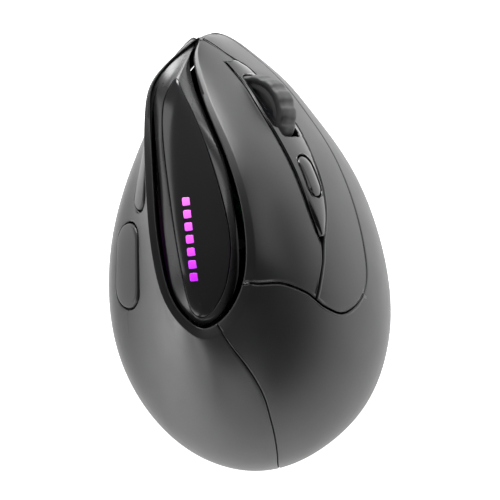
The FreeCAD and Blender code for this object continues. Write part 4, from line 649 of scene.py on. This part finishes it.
RIGHT_COLUMNS = 150
RIGHT_ROWS = 44
right_cr = four_sided(share_out(run(FINGER_EDGE, NOSE_CORNER, CREASE_END), RIGHT_COLUMNS),
                      share_out(run(LOWER_LINE), RIGHT_COLUMNS),
                      share_out(run(FINGER_EDGE, DIVIDER_FRONT, NOSE_CORNER), RIGHT_ROWS)[::-1],
                      share_out(run(FINGER_EDGE, CREASE_END, DIVIDER_REAR), RIGHT_ROWS))
right_index = np.arange(right_cr.shape[0] * right_cr.shape[1]).reshape(right_cr.shape[:2])
# It too keeps more room at the nose, along its lower edge and up the front corner.
right_rim = border(right_index)
rim_clock, rim_rise = right_cr.reshape(-1, 2)[right_rim].T
nose_share = np.clip((1.1 - rim_clock) / 0.3, 0, 1) * np.clip((0.7 - rim_rise) / 0.12, 0, 1)
right_gap = BUTTON_GAP + 3 * PRESS_ROOM * nose_share
right_button = add_plate("right_button_plate", right_cr.reshape(-1, 2), grid_quads(right_index),
                         [(right_rim, right_gap)], "right_click", BUTTON_WALL)
right_button.data.materials.append(soft_touch)
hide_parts("right_button")

# Island: a crowned strip of polished black ABS between the buttons, clipped to the inner frame.
# It has the wheel's slot and, behind it, the oval opening of the resolution button.
FACE = frame_axes(side_point(np.array(2.6), np.array(0.72)),
                  side_point(np.array(1.2), np.array(0.72)) - side_point(np.array(3.6), np.array(0.74)),
                  skin_normal(2.6, 0.72))
ISLAND_LOW = [(0.965, 0.7), (1.12, 0.655), (1.48, 0.63), (2.1, 0.62), (2.43, 0.635), (2.72, 0.655),
              (3.04, 0.675), (3.41, 0.71), (3.69, 0.746)]
ISLAND_HIGH = [(0.925, 0.808), (1.39, 0.782), (1.81, 0.785), (2.69, 0.785), (3.25, 0.783), (3.6, 0.772),
               (3.69, 0.768)]
ISLAND_ROWS, ISLAND_COLUMNS = 26, 170
SLOT_SIZE = (20.8, 7.9)
SLOT_CORNER = 1.4
OVAL_SIZE = (11.4, 5.8)
WHEEL_PLACE = turned(FACE, 17.0, -1.2)
OVAL_PLACE = turned(FACE, -5.0, -0.4)
WHEEL_START, OVAL_START = (1.75, 0.71), (2.85, 0.72)
WHEEL_MARGIN, OVAL_MARGIN = 0.7, 1.0
island_grid = four_sided(share_out(run(ISLAND_LOW), ISLAND_COLUMNS),
                         share_out(run(ISLAND_HIGH), ISLAND_COLUMNS),
                         share_out(run([ISLAND_LOW[0], (0.948, 0.76), ISLAND_HIGH[0]]), ISLAND_ROWS),
                         share_out(run([ISLAND_LOW[-1], ISLAND_HIGH[-1]]), ISLAND_ROWS))
island_index = np.arange(ISLAND_ROWS * ISLAND_COLUMNS).reshape(ISLAND_ROWS, ISLAND_COLUMNS)
island_flat = island_grid.reshape(-1, 2)
island_points = body_skin(island_flat[:, 0], island_flat[:, 1])
slot_block = block_round(island_points, island_index, WHEEL_PLACE, SLOT_SIZE, WHEEL_MARGIN)
oval_block = block_round(island_points, island_index, OVAL_PLACE, OVAL_SIZE, OVAL_MARGIN)
slot_outline = opening(SLOT_SIZE, SLOT_CORNER, 0.0)
oval_outline = opening(OVAL_SIZE, OVAL_SIZE[1] / 2 + SIDE_GAP)
island_openings = [(WHEEL_PLACE, slot_outline, slot_block, WHEEL_START, RIM_SHARES),
                   (OVAL_PLACE, oval_outline, oval_block, OVAL_START, RIM_SHARES)]
island_cr, island_quads, island_rims = open_grid(island_index, island_flat, island_openings)
# The strip is crowned: it rises towards its middle as the share across times the rest.
island_low = np.interp(island_cr[:, 0], *np.array(ISLAND_LOW).T)
island_high = np.interp(island_cr[:, 0], *np.array(ISLAND_HIGH).T)
across = np.clip((island_cr[:, 1] - island_low) / (island_high - island_low), 0, 1)[:, None]
ISLAND_CROWN = 0.5
crown = skin_normal(island_cr[:, 0], island_cr[:, 1]) * ISLAND_CROWN * 4 * across * (1 - across)
island = add_plate("island_strip", island_cr, island_quads,
                   [(border(island_index), BUTTON_GAP)] + [(rim, 0.0) for rim in island_rims],
                   "case", radius=0.3, lift=crown)
# Polished ABS: jet black and mirror smooth but for a very shallow ripple left by the mould.
piano_black = moulded("polished black ABS", "#08080a", "#0a0a0b", 0.09, 0.015, 4.0, 0.002)
island.data.materials.append(piano_black)
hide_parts("wheel_island")


def oval(size, count=32):
    """Points round a bar with round ends, and the nearest place of its centre line to each."""
    radius, half = size[1] / 2, (size[0] - size[1]) / 2
    turn = np.linspace(-math.pi / 2, math.pi / 2, count)
    along = np.linspace(half, -half, count // 2 + 2)[1:-1]
    end = np.column_stack([half + radius * np.cos(turn), radius * np.sin(turn)])
    side = np.column_stack([along, np.full(len(along), radius)])
    way = np.vstack([end, side, -end, -side])
    return way, np.column_stack([np.clip(way[:, 0], -half, half), np.zeros(len(way))])


def cap(name, place, size, proud, dome, edge, start, body, material, depth=2.6):
    """A button cap over a bar with round ends: rings from its centre line out to its edge follow
    the skin, raised by a dome, and roll over a round edge into a skirt that is closed below."""
    way, spine = oval(size)
    radius = size[1] / 2
    rings = []
    for share in (0.0, 0.2, 0.4, 0.6, 0.75, 0.86, 0.93):
        flat = spine + (way - spine) * share * (1 - edge / radius)
        rings.append((flat, proud + dome * (1 - share ** 2)))
    for turn in np.radians((0.0, 22.5, 45.0, 67.5, 90.0)):
        inset = edge * (1 - math.sin(turn)) / radius
        rings.append((spine + (way - spine) * (1 - inset), proud - edge * (1 - math.cos(turn))))
    rings += [(way, proud - depth), (spine + (way - spine) * 0.5, proud - depth), (spine, proud - depth)]
    points = []
    for flat, height in rings:
        cr = clock_and_rise(place, flat, start)
        points.append(side_point(cr[:, 0], cr[:, 1]) + place[1][2] * height)
    index = np.arange(len(rings) * len(way)).reshape(len(rings), len(way))
    index = np.column_stack([index, index[:, 0]])
    piece = make_mesh(name, np.vstack(points), grid_quads(index), body)
    weld(piece)
    piece.data.materials.append(material)
    return piece


# Resolution button: a small domed oval of the same polished black ABS, pressed by a finger.
dpi_button = cap("resolution_cap", OVAL_PLACE, OVAL_SIZE, 0.35, 0.35, 0.45, OVAL_START,
                 "resolution_key", piano_black)
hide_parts("dpi_button")

# Side buttons: two long rounded caps on the thumb slope, pressed by the thumb. Satin ABS like
# the shell, a little darker, standing just proud of it.
dark_satin = moulded("satin black ABS", "#1d1d1e", "#202021", 0.4, 0.02, 0.5, 0.003)
rear_key = cap("rear_side_cap", REAR_KEY, REAR_KEY_SIZE, 0.6, 0.3, 0.8, REAR_KEY_START,
               "rear_key", dark_satin)
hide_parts("rear_side_button")
front_key = cap("front_side_cap", FRONT_KEY, FRONT_KEY_SIZE, 0.6, 0.3, 0.8, FRONT_KEY_START,
                "front_key", dark_satin)
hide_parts("front_side_button")

# Ring round the window: a band of black ABS in the opening of the top that falls outwards from the
# window to the gap along the shells' flanges, with both edges broken. It is glued to the tray.
RING_DROP = np.array([0.3, 0.9, 1.2, 0.9, 1.1, 1.9, 3.1, 4.1, 4.3, 3.9, 3.2, 2.2,
                      1.9, 2.0, 1.6, 1.2, 0.9, 1.0, 1.4, 1.7, 1.9, 1.9, 1.1, 0.2])[:, None]
RING_OFFSET = STATIONS[:, 7:8]
RIDGE = (60.9, 2.0)
LEFT_TILT = 0.2
FORWARD_FALL, REAR_FALL = 0.0042, 0.01
MIDDLE_X = -12.5
RING_DEPTH = 1.0
RING_CROWN = 0.12
RING_EDGE = 0.25
RING_STEP = 0.3
RING_TURNS = 300
DOWN = np.array([0.0, 0.0, -1.0])
turns = np.linspace(0, 12, RING_TURNS, endpoint=False)


def panel(x, y):
    """Height of the panel that the window and the ring's inner edge lie on: a slope across and a
    parabola along, steeper behind the ridge than ahead of it."""
    fall = np.where(y > RIDGE[1], FORWARD_FALL, REAR_FALL)
    return RIDGE[0] + LEFT_TILT * (x - MIDDLE_X) - fall * (y - RIDGE[1]) ** 2


window_row = np.column_stack([STATIONS[:, 8:10], panel(STATIONS[:, 8], STATIONS[:, 9])])
ring_edge = FLANGE + FLANGE_INWARD * RING_OFFSET + DOWN * RING_DROP
ring_outside = round_row(through_stations(ring_edge), turns)
ring_inside = round_row(through_stations(window_row), turns)
ring_width = np.linalg.norm(ring_inside - ring_outside, axis=1)[:, None]
ring_across = (ring_inside - ring_outside) / ring_width
quarter = np.radians(np.linspace(0, 90, 5))
profile = [(0.0, -RING_DEPTH)]
profile += [(RING_EDGE * (1 - math.cos(turn)), -RING_EDGE * (1 - math.sin(turn))) for turn in quarter]
profile += [(share, None) for share in np.linspace(0, 1, 13)[1:-1]]
profile += [(-RING_EDGE * (1 - math.sin(turn)), -RING_EDGE * (1 - math.cos(turn))) for turn in quarter]
profile += [(-1e-9, -RING_DEPTH + RING_STEP)]
ring_points = []
for step, drop in profile:
    if drop is None:
        reach = RING_EDGE + (ring_width - 2 * RING_EDGE) * step
        lift = RING_CROWN * 4 * step * (1 - step)
    else:
        reach = step if step >= 0 else ring_width + step
        lift = drop
    ring_points.append(ring_outside + ring_across * reach - DOWN * lift)
ring_index = np.arange(len(profile) * RING_TURNS).reshape(len(profile), RING_TURNS)
ring_index = np.vstack([ring_index, ring_index[:1]])
ring_index = np.column_stack([ring_index, ring_index[:, 0]])
bezel_ring = make_mesh("window_ring", np.vstack(ring_points), grid_quads(ring_index)[:, ::-1], "case")
# The same ABS polished less: black with soft, broad reflections.
half_gloss = moulded("half-gloss black ABS", "#2a2a2b", "#2d2d2e", 0.27, 0.02, 4.0, 0.002)
bezel_ring.data.materials.append(half_gloss)
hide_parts("bezel_ring")

# Window: a smoked acrylic lens, crowned along its middle, that lies inside the ring.
SPINE_FRONT = np.array([-18.4, 41.5])
SPINE_REAR = np.array([-12.6, -13.0])
WINDOW_CROWN = 0.5
WINDOW_DEPTH = 1.0
WINDOW_SET = 0.1
WINDOW_BREAK = 0.15
WINDOW_INSET = 0.03
mirrored = window_row[(-np.arange(COUNT)) % COUNT]
middle = (window_row + mirrored) / 2
share = ((window_row[0, 1] - middle[:, 1]) / (window_row[0, 1] - window_row[COUNT // 2, 1]))[:, None]
spine_row = np.column_stack([SPINE_FRONT * (1 - share) + SPINE_REAR * share, middle[:, 2]])
lens_row = window_row * (1 - WINDOW_INSET) + spine_row * WINDOW_INSET
lens_edge = round_row(through_stations(lens_row), turns)
lens_spine = round_row(through_stations(spine_row), turns)


def on_window(plan, reach):
    """The window's top over a place: a little under the panel, with a crown that rises towards
    the middle line as one less the square of the rest of the way."""
    height = panel(plan[:, 0], plan[:, 1]) - WINDOW_SET
    return np.column_stack([plan[:, :2], height + WINDOW_CROWN * (1 - (1 - reach) ** 2)])


lens_rim = on_window(lens_edge, 0.0)
lens_points = [lens_rim + DOWN * WINDOW_DEPTH, lens_rim + DOWN * WINDOW_BREAK]
for reach in np.concatenate([[0.01, 0.03], np.linspace(0.07, 1, 22)]):
    lens_points.append(on_window(lens_edge * (1 - reach) + lens_spine * reach, reach))
lens_spine = lens_points[-1]
lens_points.append(lens_spine + DOWN * WINDOW_DEPTH)
lens_index = np.arange(len(lens_points) * RING_TURNS).reshape(len(lens_points), RING_TURNS)
lens_index = np.vstack([lens_index, lens_index[:1]])
lens_index = np.column_stack([lens_index, lens_index[:, 0]])
lens_faces = np.delete(grid_quads(lens_index).reshape(len(lens_points), RING_TURNS, 4),
                       len(lens_points) - 2, axis=0).reshape(-1, 4)[:, ::-1]
window = make_mesh("smoked_window", np.vstack(lens_points), lens_faces, "case")
weld(window)
# Acrylic dyed almost black: glass-smooth on top.
smoked, tree, shader = new_material("smoked acrylic")
place = add(tree, "ShaderNodeTexCoord").outputs["Object"]
haze = add(tree, "ShaderNodeTexNoise", {"Vector": place, "Scale": 1000.0 / 12.0, "Detail": 2.0})
gloss = add(tree, "ShaderNodeMapRange", {"Value": haze.outputs["Fac"], "To Min": 0.1, "To Max": 0.16})
tree.links.new(gloss.outputs["Result"], shader.inputs["Roughness"])
shader.inputs["Base Color"].default_value = linear("#242425")
shader.inputs["IOR"].default_value = 1.49
window.data.materials.append(smoked)
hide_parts("bezel_window")

# Light guide: a row of seven plain bars of diffusing acrylic that come up flush through the
# window and glow from pink at the front to violet at the rear.
GLOW_START = np.array([-15.6, 14.4])
GLOW_END = np.array([-13.4, -7.4])
GLOW_BARS = 7
GLOW_PITCH = 3.2
GLOW_SIZE = (2.1, 3.2, 2.0)
GLOW_SQUARENESS = 0.35
GLOW_PROUD = 0.04
GLOW_PROFILE = [(0.0, 0.0), (0.86, 0.0), (0.96, 0.05), (1.0, 0.2),
                (1.0, GLOW_SIZE[2]), (0.0, GLOW_SIZE[2])]
glow_way = unit(GLOW_START - GLOW_END)
spine_line = lens_spine[:RING_TURNS // 2 + 1]
bars = []
bar_quads = []
for i in range(GLOW_BARS):
    spot = (GLOW_START + GLOW_END) / 2 + glow_way * (i - (GLOW_BARS - 1) / 2) * GLOW_PITCH
    height = np.interp(-spot[1], -spine_line[:, 1], spine_line[:, 2])
    ahead = spot + glow_way
    rise = np.interp(-ahead[1], -spine_line[:, 1], spine_line[:, 2]) - height
    along = unit(np.append(glow_way, rise))
    over = unit(np.cross(along, np.cross(np.array([0, 0, 1.0]), along)))
    side = np.cross(over, along)
    way, spine = oval((GLOW_SIZE[1], GLOW_SIZE[0]), 8)
    way = way[:, ::-1] / GLOW_SIZE[:2] * 2
    way = np.sign(way) * np.abs(way) ** GLOW_SQUARENESS * GLOW_SIZE[:2] / 2
    for reach, drop in GLOW_PROFILE:
        bars.append(np.append(spot, height + GLOW_PROUD) + np.outer(way[:, 0] * reach, along)
                    + np.outer(way[:, 1] * reach, side) - over * drop)
    index = np.arange(len(GLOW_PROFILE) * len(way)).reshape(len(GLOW_PROFILE), len(way))
    index += i * index.size
    bar_quads.append(grid_quads(np.column_stack([index, index[:, 0]])))
light_guide = make_mesh("glow_bars", np.vstack(bars), np.vstack(bar_quads), "case")
weld(light_guide)
# Diffusing acrylic lit from below: the colour runs along the row.
glow, tree, shader = new_material("lit diffusing acrylic")
place = add(tree, "ShaderNodeTexCoord").outputs["Object"]
apart = add(tree, "ShaderNodeSeparateXYZ", {"Vector": place})
run_along = add(tree, "ShaderNodeMapRange",
                {"Value": apart.outputs["Y"], "From Min": GLOW_END[1] * 0.001,
                 "From Max": GLOW_START[1] * 0.001})
colours = add(tree, "ShaderNodeValToRGB", {"Fac": run_along.outputs["Result"]})
colours.color_ramp.elements[0].color = linear("#b81cf0")
colours.color_ramp.elements[1].color = linear("#e86be0")
tree.links.new(colours.outputs["Color"], shader.inputs["Emission Color"])
tree.links.new(colours.outputs["Color"], shader.inputs["Base Color"])
shader.inputs["Emission Strength"].default_value = 0.9
shader.inputs["Roughness"].default_value = 0.35
light_guide.data.materials.append(glow)
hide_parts("light_guide")

# Scroll wheel: a moulded rubber tread with broad notches across it, stretched over a plastic
# hub that turns on its own axle in the cradle.
TREAD_RADIUS = 11.0
TREAD_WIDTH = 7.0
TREAD_DEPTH = 2.4
NOTCHES = 14
NOTCH_WIDTH = 1.9
NOTCH_DEPTH = 0.45
NOTCH_SOFTNESS = 0.2
SHOULDER_DROP = 1.1
CROWN_DROP = 0.75
WHEEL_DEPTH = -7.216
TREAD_TURNS = NOTCHES * 18
origin, axes = WHEEL_PLACE
wheel_middle = origin + axes[2] * WHEEL_DEPTH
turn = np.linspace(0, 2 * math.pi, TREAD_TURNS, endpoint=False)
spokes = np.outer(np.cos(turn), axes[0]) + np.outer(np.sin(turn), axes[2])
# A notch is a step down and up again, each eased as one over one plus an exponential.
notch_share = np.mod(turn * NOTCHES / (2 * math.pi) + 0.5, 1) - 0.5
from_notch = notch_share * 2 * math.pi * TREAD_RADIUS / NOTCHES
notch = 1 / (1 + np.exp((np.abs(from_notch) - NOTCH_WIDTH / 2) / NOTCH_SOFTNESS))
half = TREAD_WIDTH / 2
profile = [(-half, TREAD_RADIUS - TREAD_DEPTH, 0.0), (-half, TREAD_RADIUS - SHOULDER_DROP, 0.2)]
for x in np.linspace(-1, 1, 15):
    crown = TREAD_RADIUS - CROWN_DROP * abs(x) ** 3.5
    profile.append((x * (half - 0.12) if abs(x) < 1 else x * half, crown, 1.0 - 0.35 * abs(x) ** 6))
profile += [(half, TREAD_RADIUS - SHOULDER_DROP, 0.2), (half, TREAD_RADIUS - TREAD_DEPTH, 0.0)]
tread = []
for x, radius, share in profile:
    reach = (radius - NOTCH_DEPTH * share * notch)[:, None]
    tread.append(wheel_middle + axes[1] * x + reach * spokes)
index = np.arange(len(profile) * TREAD_TURNS).reshape(len(profile), TREAD_TURNS)
index = np.vstack([index, index[:1]])
index = np.column_stack([index, index[:, 0]])
tyre = make_mesh("wheel_tread", np.vstack(tread), grid_quads(index), "wheel")
# Moulded rubber: dull, dark grey, with a faint dusty bloom.
rubber = moulded("moulded rubber", "#333334", "#3c3c3d", 0.62, 0.06, 0.4, 0.01, 3.0)
tyre.data.materials.append(rubber)
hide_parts("wheel_tyre")

# The rest of the mouse keeps its CAD solids: base, feet, frame, boards, switches and screws. Each
# gets the finish of its own material; most of it is seen only with the shells off.
def repaint(names, material):
    """Give CAD pieces one finish."""
    for name in names:
        nodes[name].data.materials.clear()
        nodes[name].data.materials.append(material)


# Bare moulded ABS: dull black with the mould's eroded grain.
repaint(["base_cover", "bezel_tray", "wheel_cradle", "inner_frame", "power_knob"],
        moulded("moulded black ABS", "#141415", "#18181a", 0.5, 0.04, 0.6, 0.006))
# The wheel's hub: the same plastic in dark grey, moulded smooth.
repaint(["wheel_hub"], moulded("satin grey ABS", "#2c2d2f", "#313234", 0.36, 0.03, 0.5, 0.003))
# Glide feet: pressed fluoropolymer sheet, waxy dark grey.
repaint(["front_foot", "rear_left_foot", "rear_right_foot"],
        moulded("glide foot polymer", "#2b2b2e", "#343437", 0.42, 0.04, 0.8, 0.004, 5.0))
# Switches, encoder and chips: nylon and epoxy packages, black and matt. Plungers: red acetal.
repaint(["left_switch", "right_switch", "dpi_switch", "wheel_switch", "side_switches", "power_switch",
         "wheel_encoder"],
        moulded("switch nylon", "#17181a", "#1e1f21", 0.45, 0.05, 0.3, 0.004, 2.0))
repaint(["radio_chip", "sensor_chip"],
        moulded("chip epoxy", "#101112", "#161719", 0.6, 0.05, 0.2, 0.004, 1.5))
repaint(["left_plunger", "right_plunger"],
        moulded("red acetal", "#8f2a22", "#9c3128", 0.35, 0.04, 0.3, 0.002, 2.0))
# Boards: green solder mask over glass cloth, glossy, with the cloth faintly raised.
repaint(["main_board", "button_board", "side_board"],
        moulded("green solder mask", "#134a28", "#1a5a33", 0.3, 0.05, 0.5, 0.012, 3.0))
# Flat cable and light strip: amber polyimide film.
repaint(["ribbon_cable", "light_strip"],
        moulded("polyimide film", "#8a4a10", "#a05a18", 0.3, 0.05, 1.0, 0.004, 4.0))
# Battery: a pouch of printed foil on a pad of open foam.
repaint(["battery"], moulded("foil pouch", "#9a9da2", "#b4b7bb", 0.35, 0.08, 3.0, 0.06, 8.0))
repaint(["battery_pad"], moulded("black foam", "#111112", "#1d1d1e", 0.9, 0.05, 0.5, 0.12, 1.2))
# Sensor lens: clear moulded acrylic over the sensor's window in the base.
clear = moulded("clear acrylic", "#d9dde0", "#e4e7ea", 0.08, 0.03, 4.0, 0.001, 3.0)
clear.node_tree.nodes["Principled BSDF"].inputs["Transmission Weight"].default_value = 1.0
clear.node_tree.nodes["Principled BSDF"].inputs["IOR"].default_value = 1.49
repaint(["sensor_lens"], clear)


def drawn_metal(name, colour, roughness, line_mm):
    """Drawn or rolled metal: one colour, with fine lines as noise stretched twelve times along the
    length, in its gloss and its relief."""
    metal, tree, shader = new_material(name)
    place = add(tree, "ShaderNodeTexCoord").outputs["Object"]
    across = 1000.0 / line_mm
    stretched = add(tree, "ShaderNodeMapping", {"Vector": place, "Scale": (across, across / 12, across)})
    lines = add(tree, "ShaderNodeTexNoise",
                {"Vector": stretched.outputs["Vector"], "Scale": 1.0, "Detail": 2.0})
    gloss = add(tree, "ShaderNodeMapRange",
                {"Value": lines.outputs["Fac"], "To Min": roughness - 0.08, "To Max": roughness + 0.08})
    relief = add(tree, "ShaderNodeBump",
                 {"Height": lines.outputs["Fac"], "Distance": 2e-6, "Strength": 1.0})
    tree.links.new(gloss.outputs["Result"], shader.inputs["Roughness"])
    tree.links.new(relief.outputs["Normal"], shader.inputs["Normal"])
    shader.inputs["Base Color"].default_value = linear(colour)
    shader.inputs["Metallic"].default_value = 1.0
    return metal


# Screws and hinge pin: zinc-plated steel. Socket: a rolled stainless steel can.
repaint(["case_screws", "board_screws", "hinge_pin"],
        drawn_metal("zinc-plated steel", "#a9abb0", 0.32, 0.3))
repaint(["usb_port"], drawn_metal("rolled stainless steel", "#b9b7b2", 0.26, 0.4))

# Floor: a white paper sweep that the mouse stands on. It glows only for the camera and for
# reflections, so it looks white there and adds no light of its own.
floor = bpy.data.objects.new("sweep", bpy.data.meshes.new("sweep"))
bpy.context.scene.collection.objects.link(floor)
floor.data.from_pydata([(-3, -3, 0), (3, -3, 0), (3, 3, 0), (-3, 3, 0)], [], [(0, 1, 2, 3)])
white, tree, shader = new_material("white paper sweep")
shader.inputs["Base Color"].default_value = linear("#f4f4f4")
shader.inputs["Roughness"].default_value = 0.9
seen = add(tree, "ShaderNodeLightPath")
seen_or_mirrored = add(tree, "ShaderNodeMath",
                       {0: seen.outputs["Is Camera Ray"], 1: seen.outputs["Is Glossy Ray"]},
                       operation="MAXIMUM")
shader.inputs["Emission Color"].default_value = linear("#ffffff")
tree.links.new(seen_or_mirrored.outputs[0], shader.inputs["Emission Strength"])
floor.data.materials.append(white)

# Camera straight above, as the photograph was taken.
camera = bpy.data.objects.new("camera", bpy.data.cameras.new("camera"))
bpy.context.scene.collection.objects.link(camera)
camera.location = (0.0000742, 0.0007335, 0.600)
camera.data.lens = 154.1
camera.data.sensor_width = 36.0
camera.data.clip_start = 0.01
bpy.context.scene.camera = camera


# Soft boxes stand round the mouse, four of them low and two high, and all look at its middle.
LIGHT_AIM = (0, 0, 0.03)
LOW_BOX = (0.4, 0.25)


def soft_box(name, place, size, power):
    """A rectangular soft light turned towards the mouse."""
    light = bpy.data.objects.new(name, bpy.data.lights.new(name, "AREA"))
    bpy.context.scene.collection.objects.link(light)
    light.location = place
    light.rotation_euler = (Vector(LIGHT_AIM) - Vector(place)).to_track_quat("-Z", "Y").to_euler()
    light.data.shape = "RECTANGLE"
    light.data.size, light.data.size_y = size
    light.data.energy = power


soft_box("front_box", (0.0, 0.57, 0.17), LOW_BOX, 6.0)
soft_box("front_right_box", (0.42, 0.38, 0.17), LOW_BOX, 0.5)
soft_box("tail_left_box", (-0.42, -0.38, 0.17), LOW_BOX, 1.3)
soft_box("tail_box", (0.0, -0.57, 0.17), LOW_BOX, 0.8)
soft_box("high_left_box", (-0.48, 0.1, 0.36), (0.6, 0.25), 1.2)
soft_box("high_right_box", (0.45, 0.1, 0.36), (0.5, 0.25), 0.7)
world = bpy.data.worlds.new("studio")
bpy.context.scene.world = world
world.use_nodes = True
world.node_tree.nodes["Background"].inputs["Color"].default_value = (1, 1, 1, 1)
world.node_tree.nodes["Background"].inputs["Strength"].default_value = 0.06
bpy.context.scene.view_settings.view_transform = "Standard"
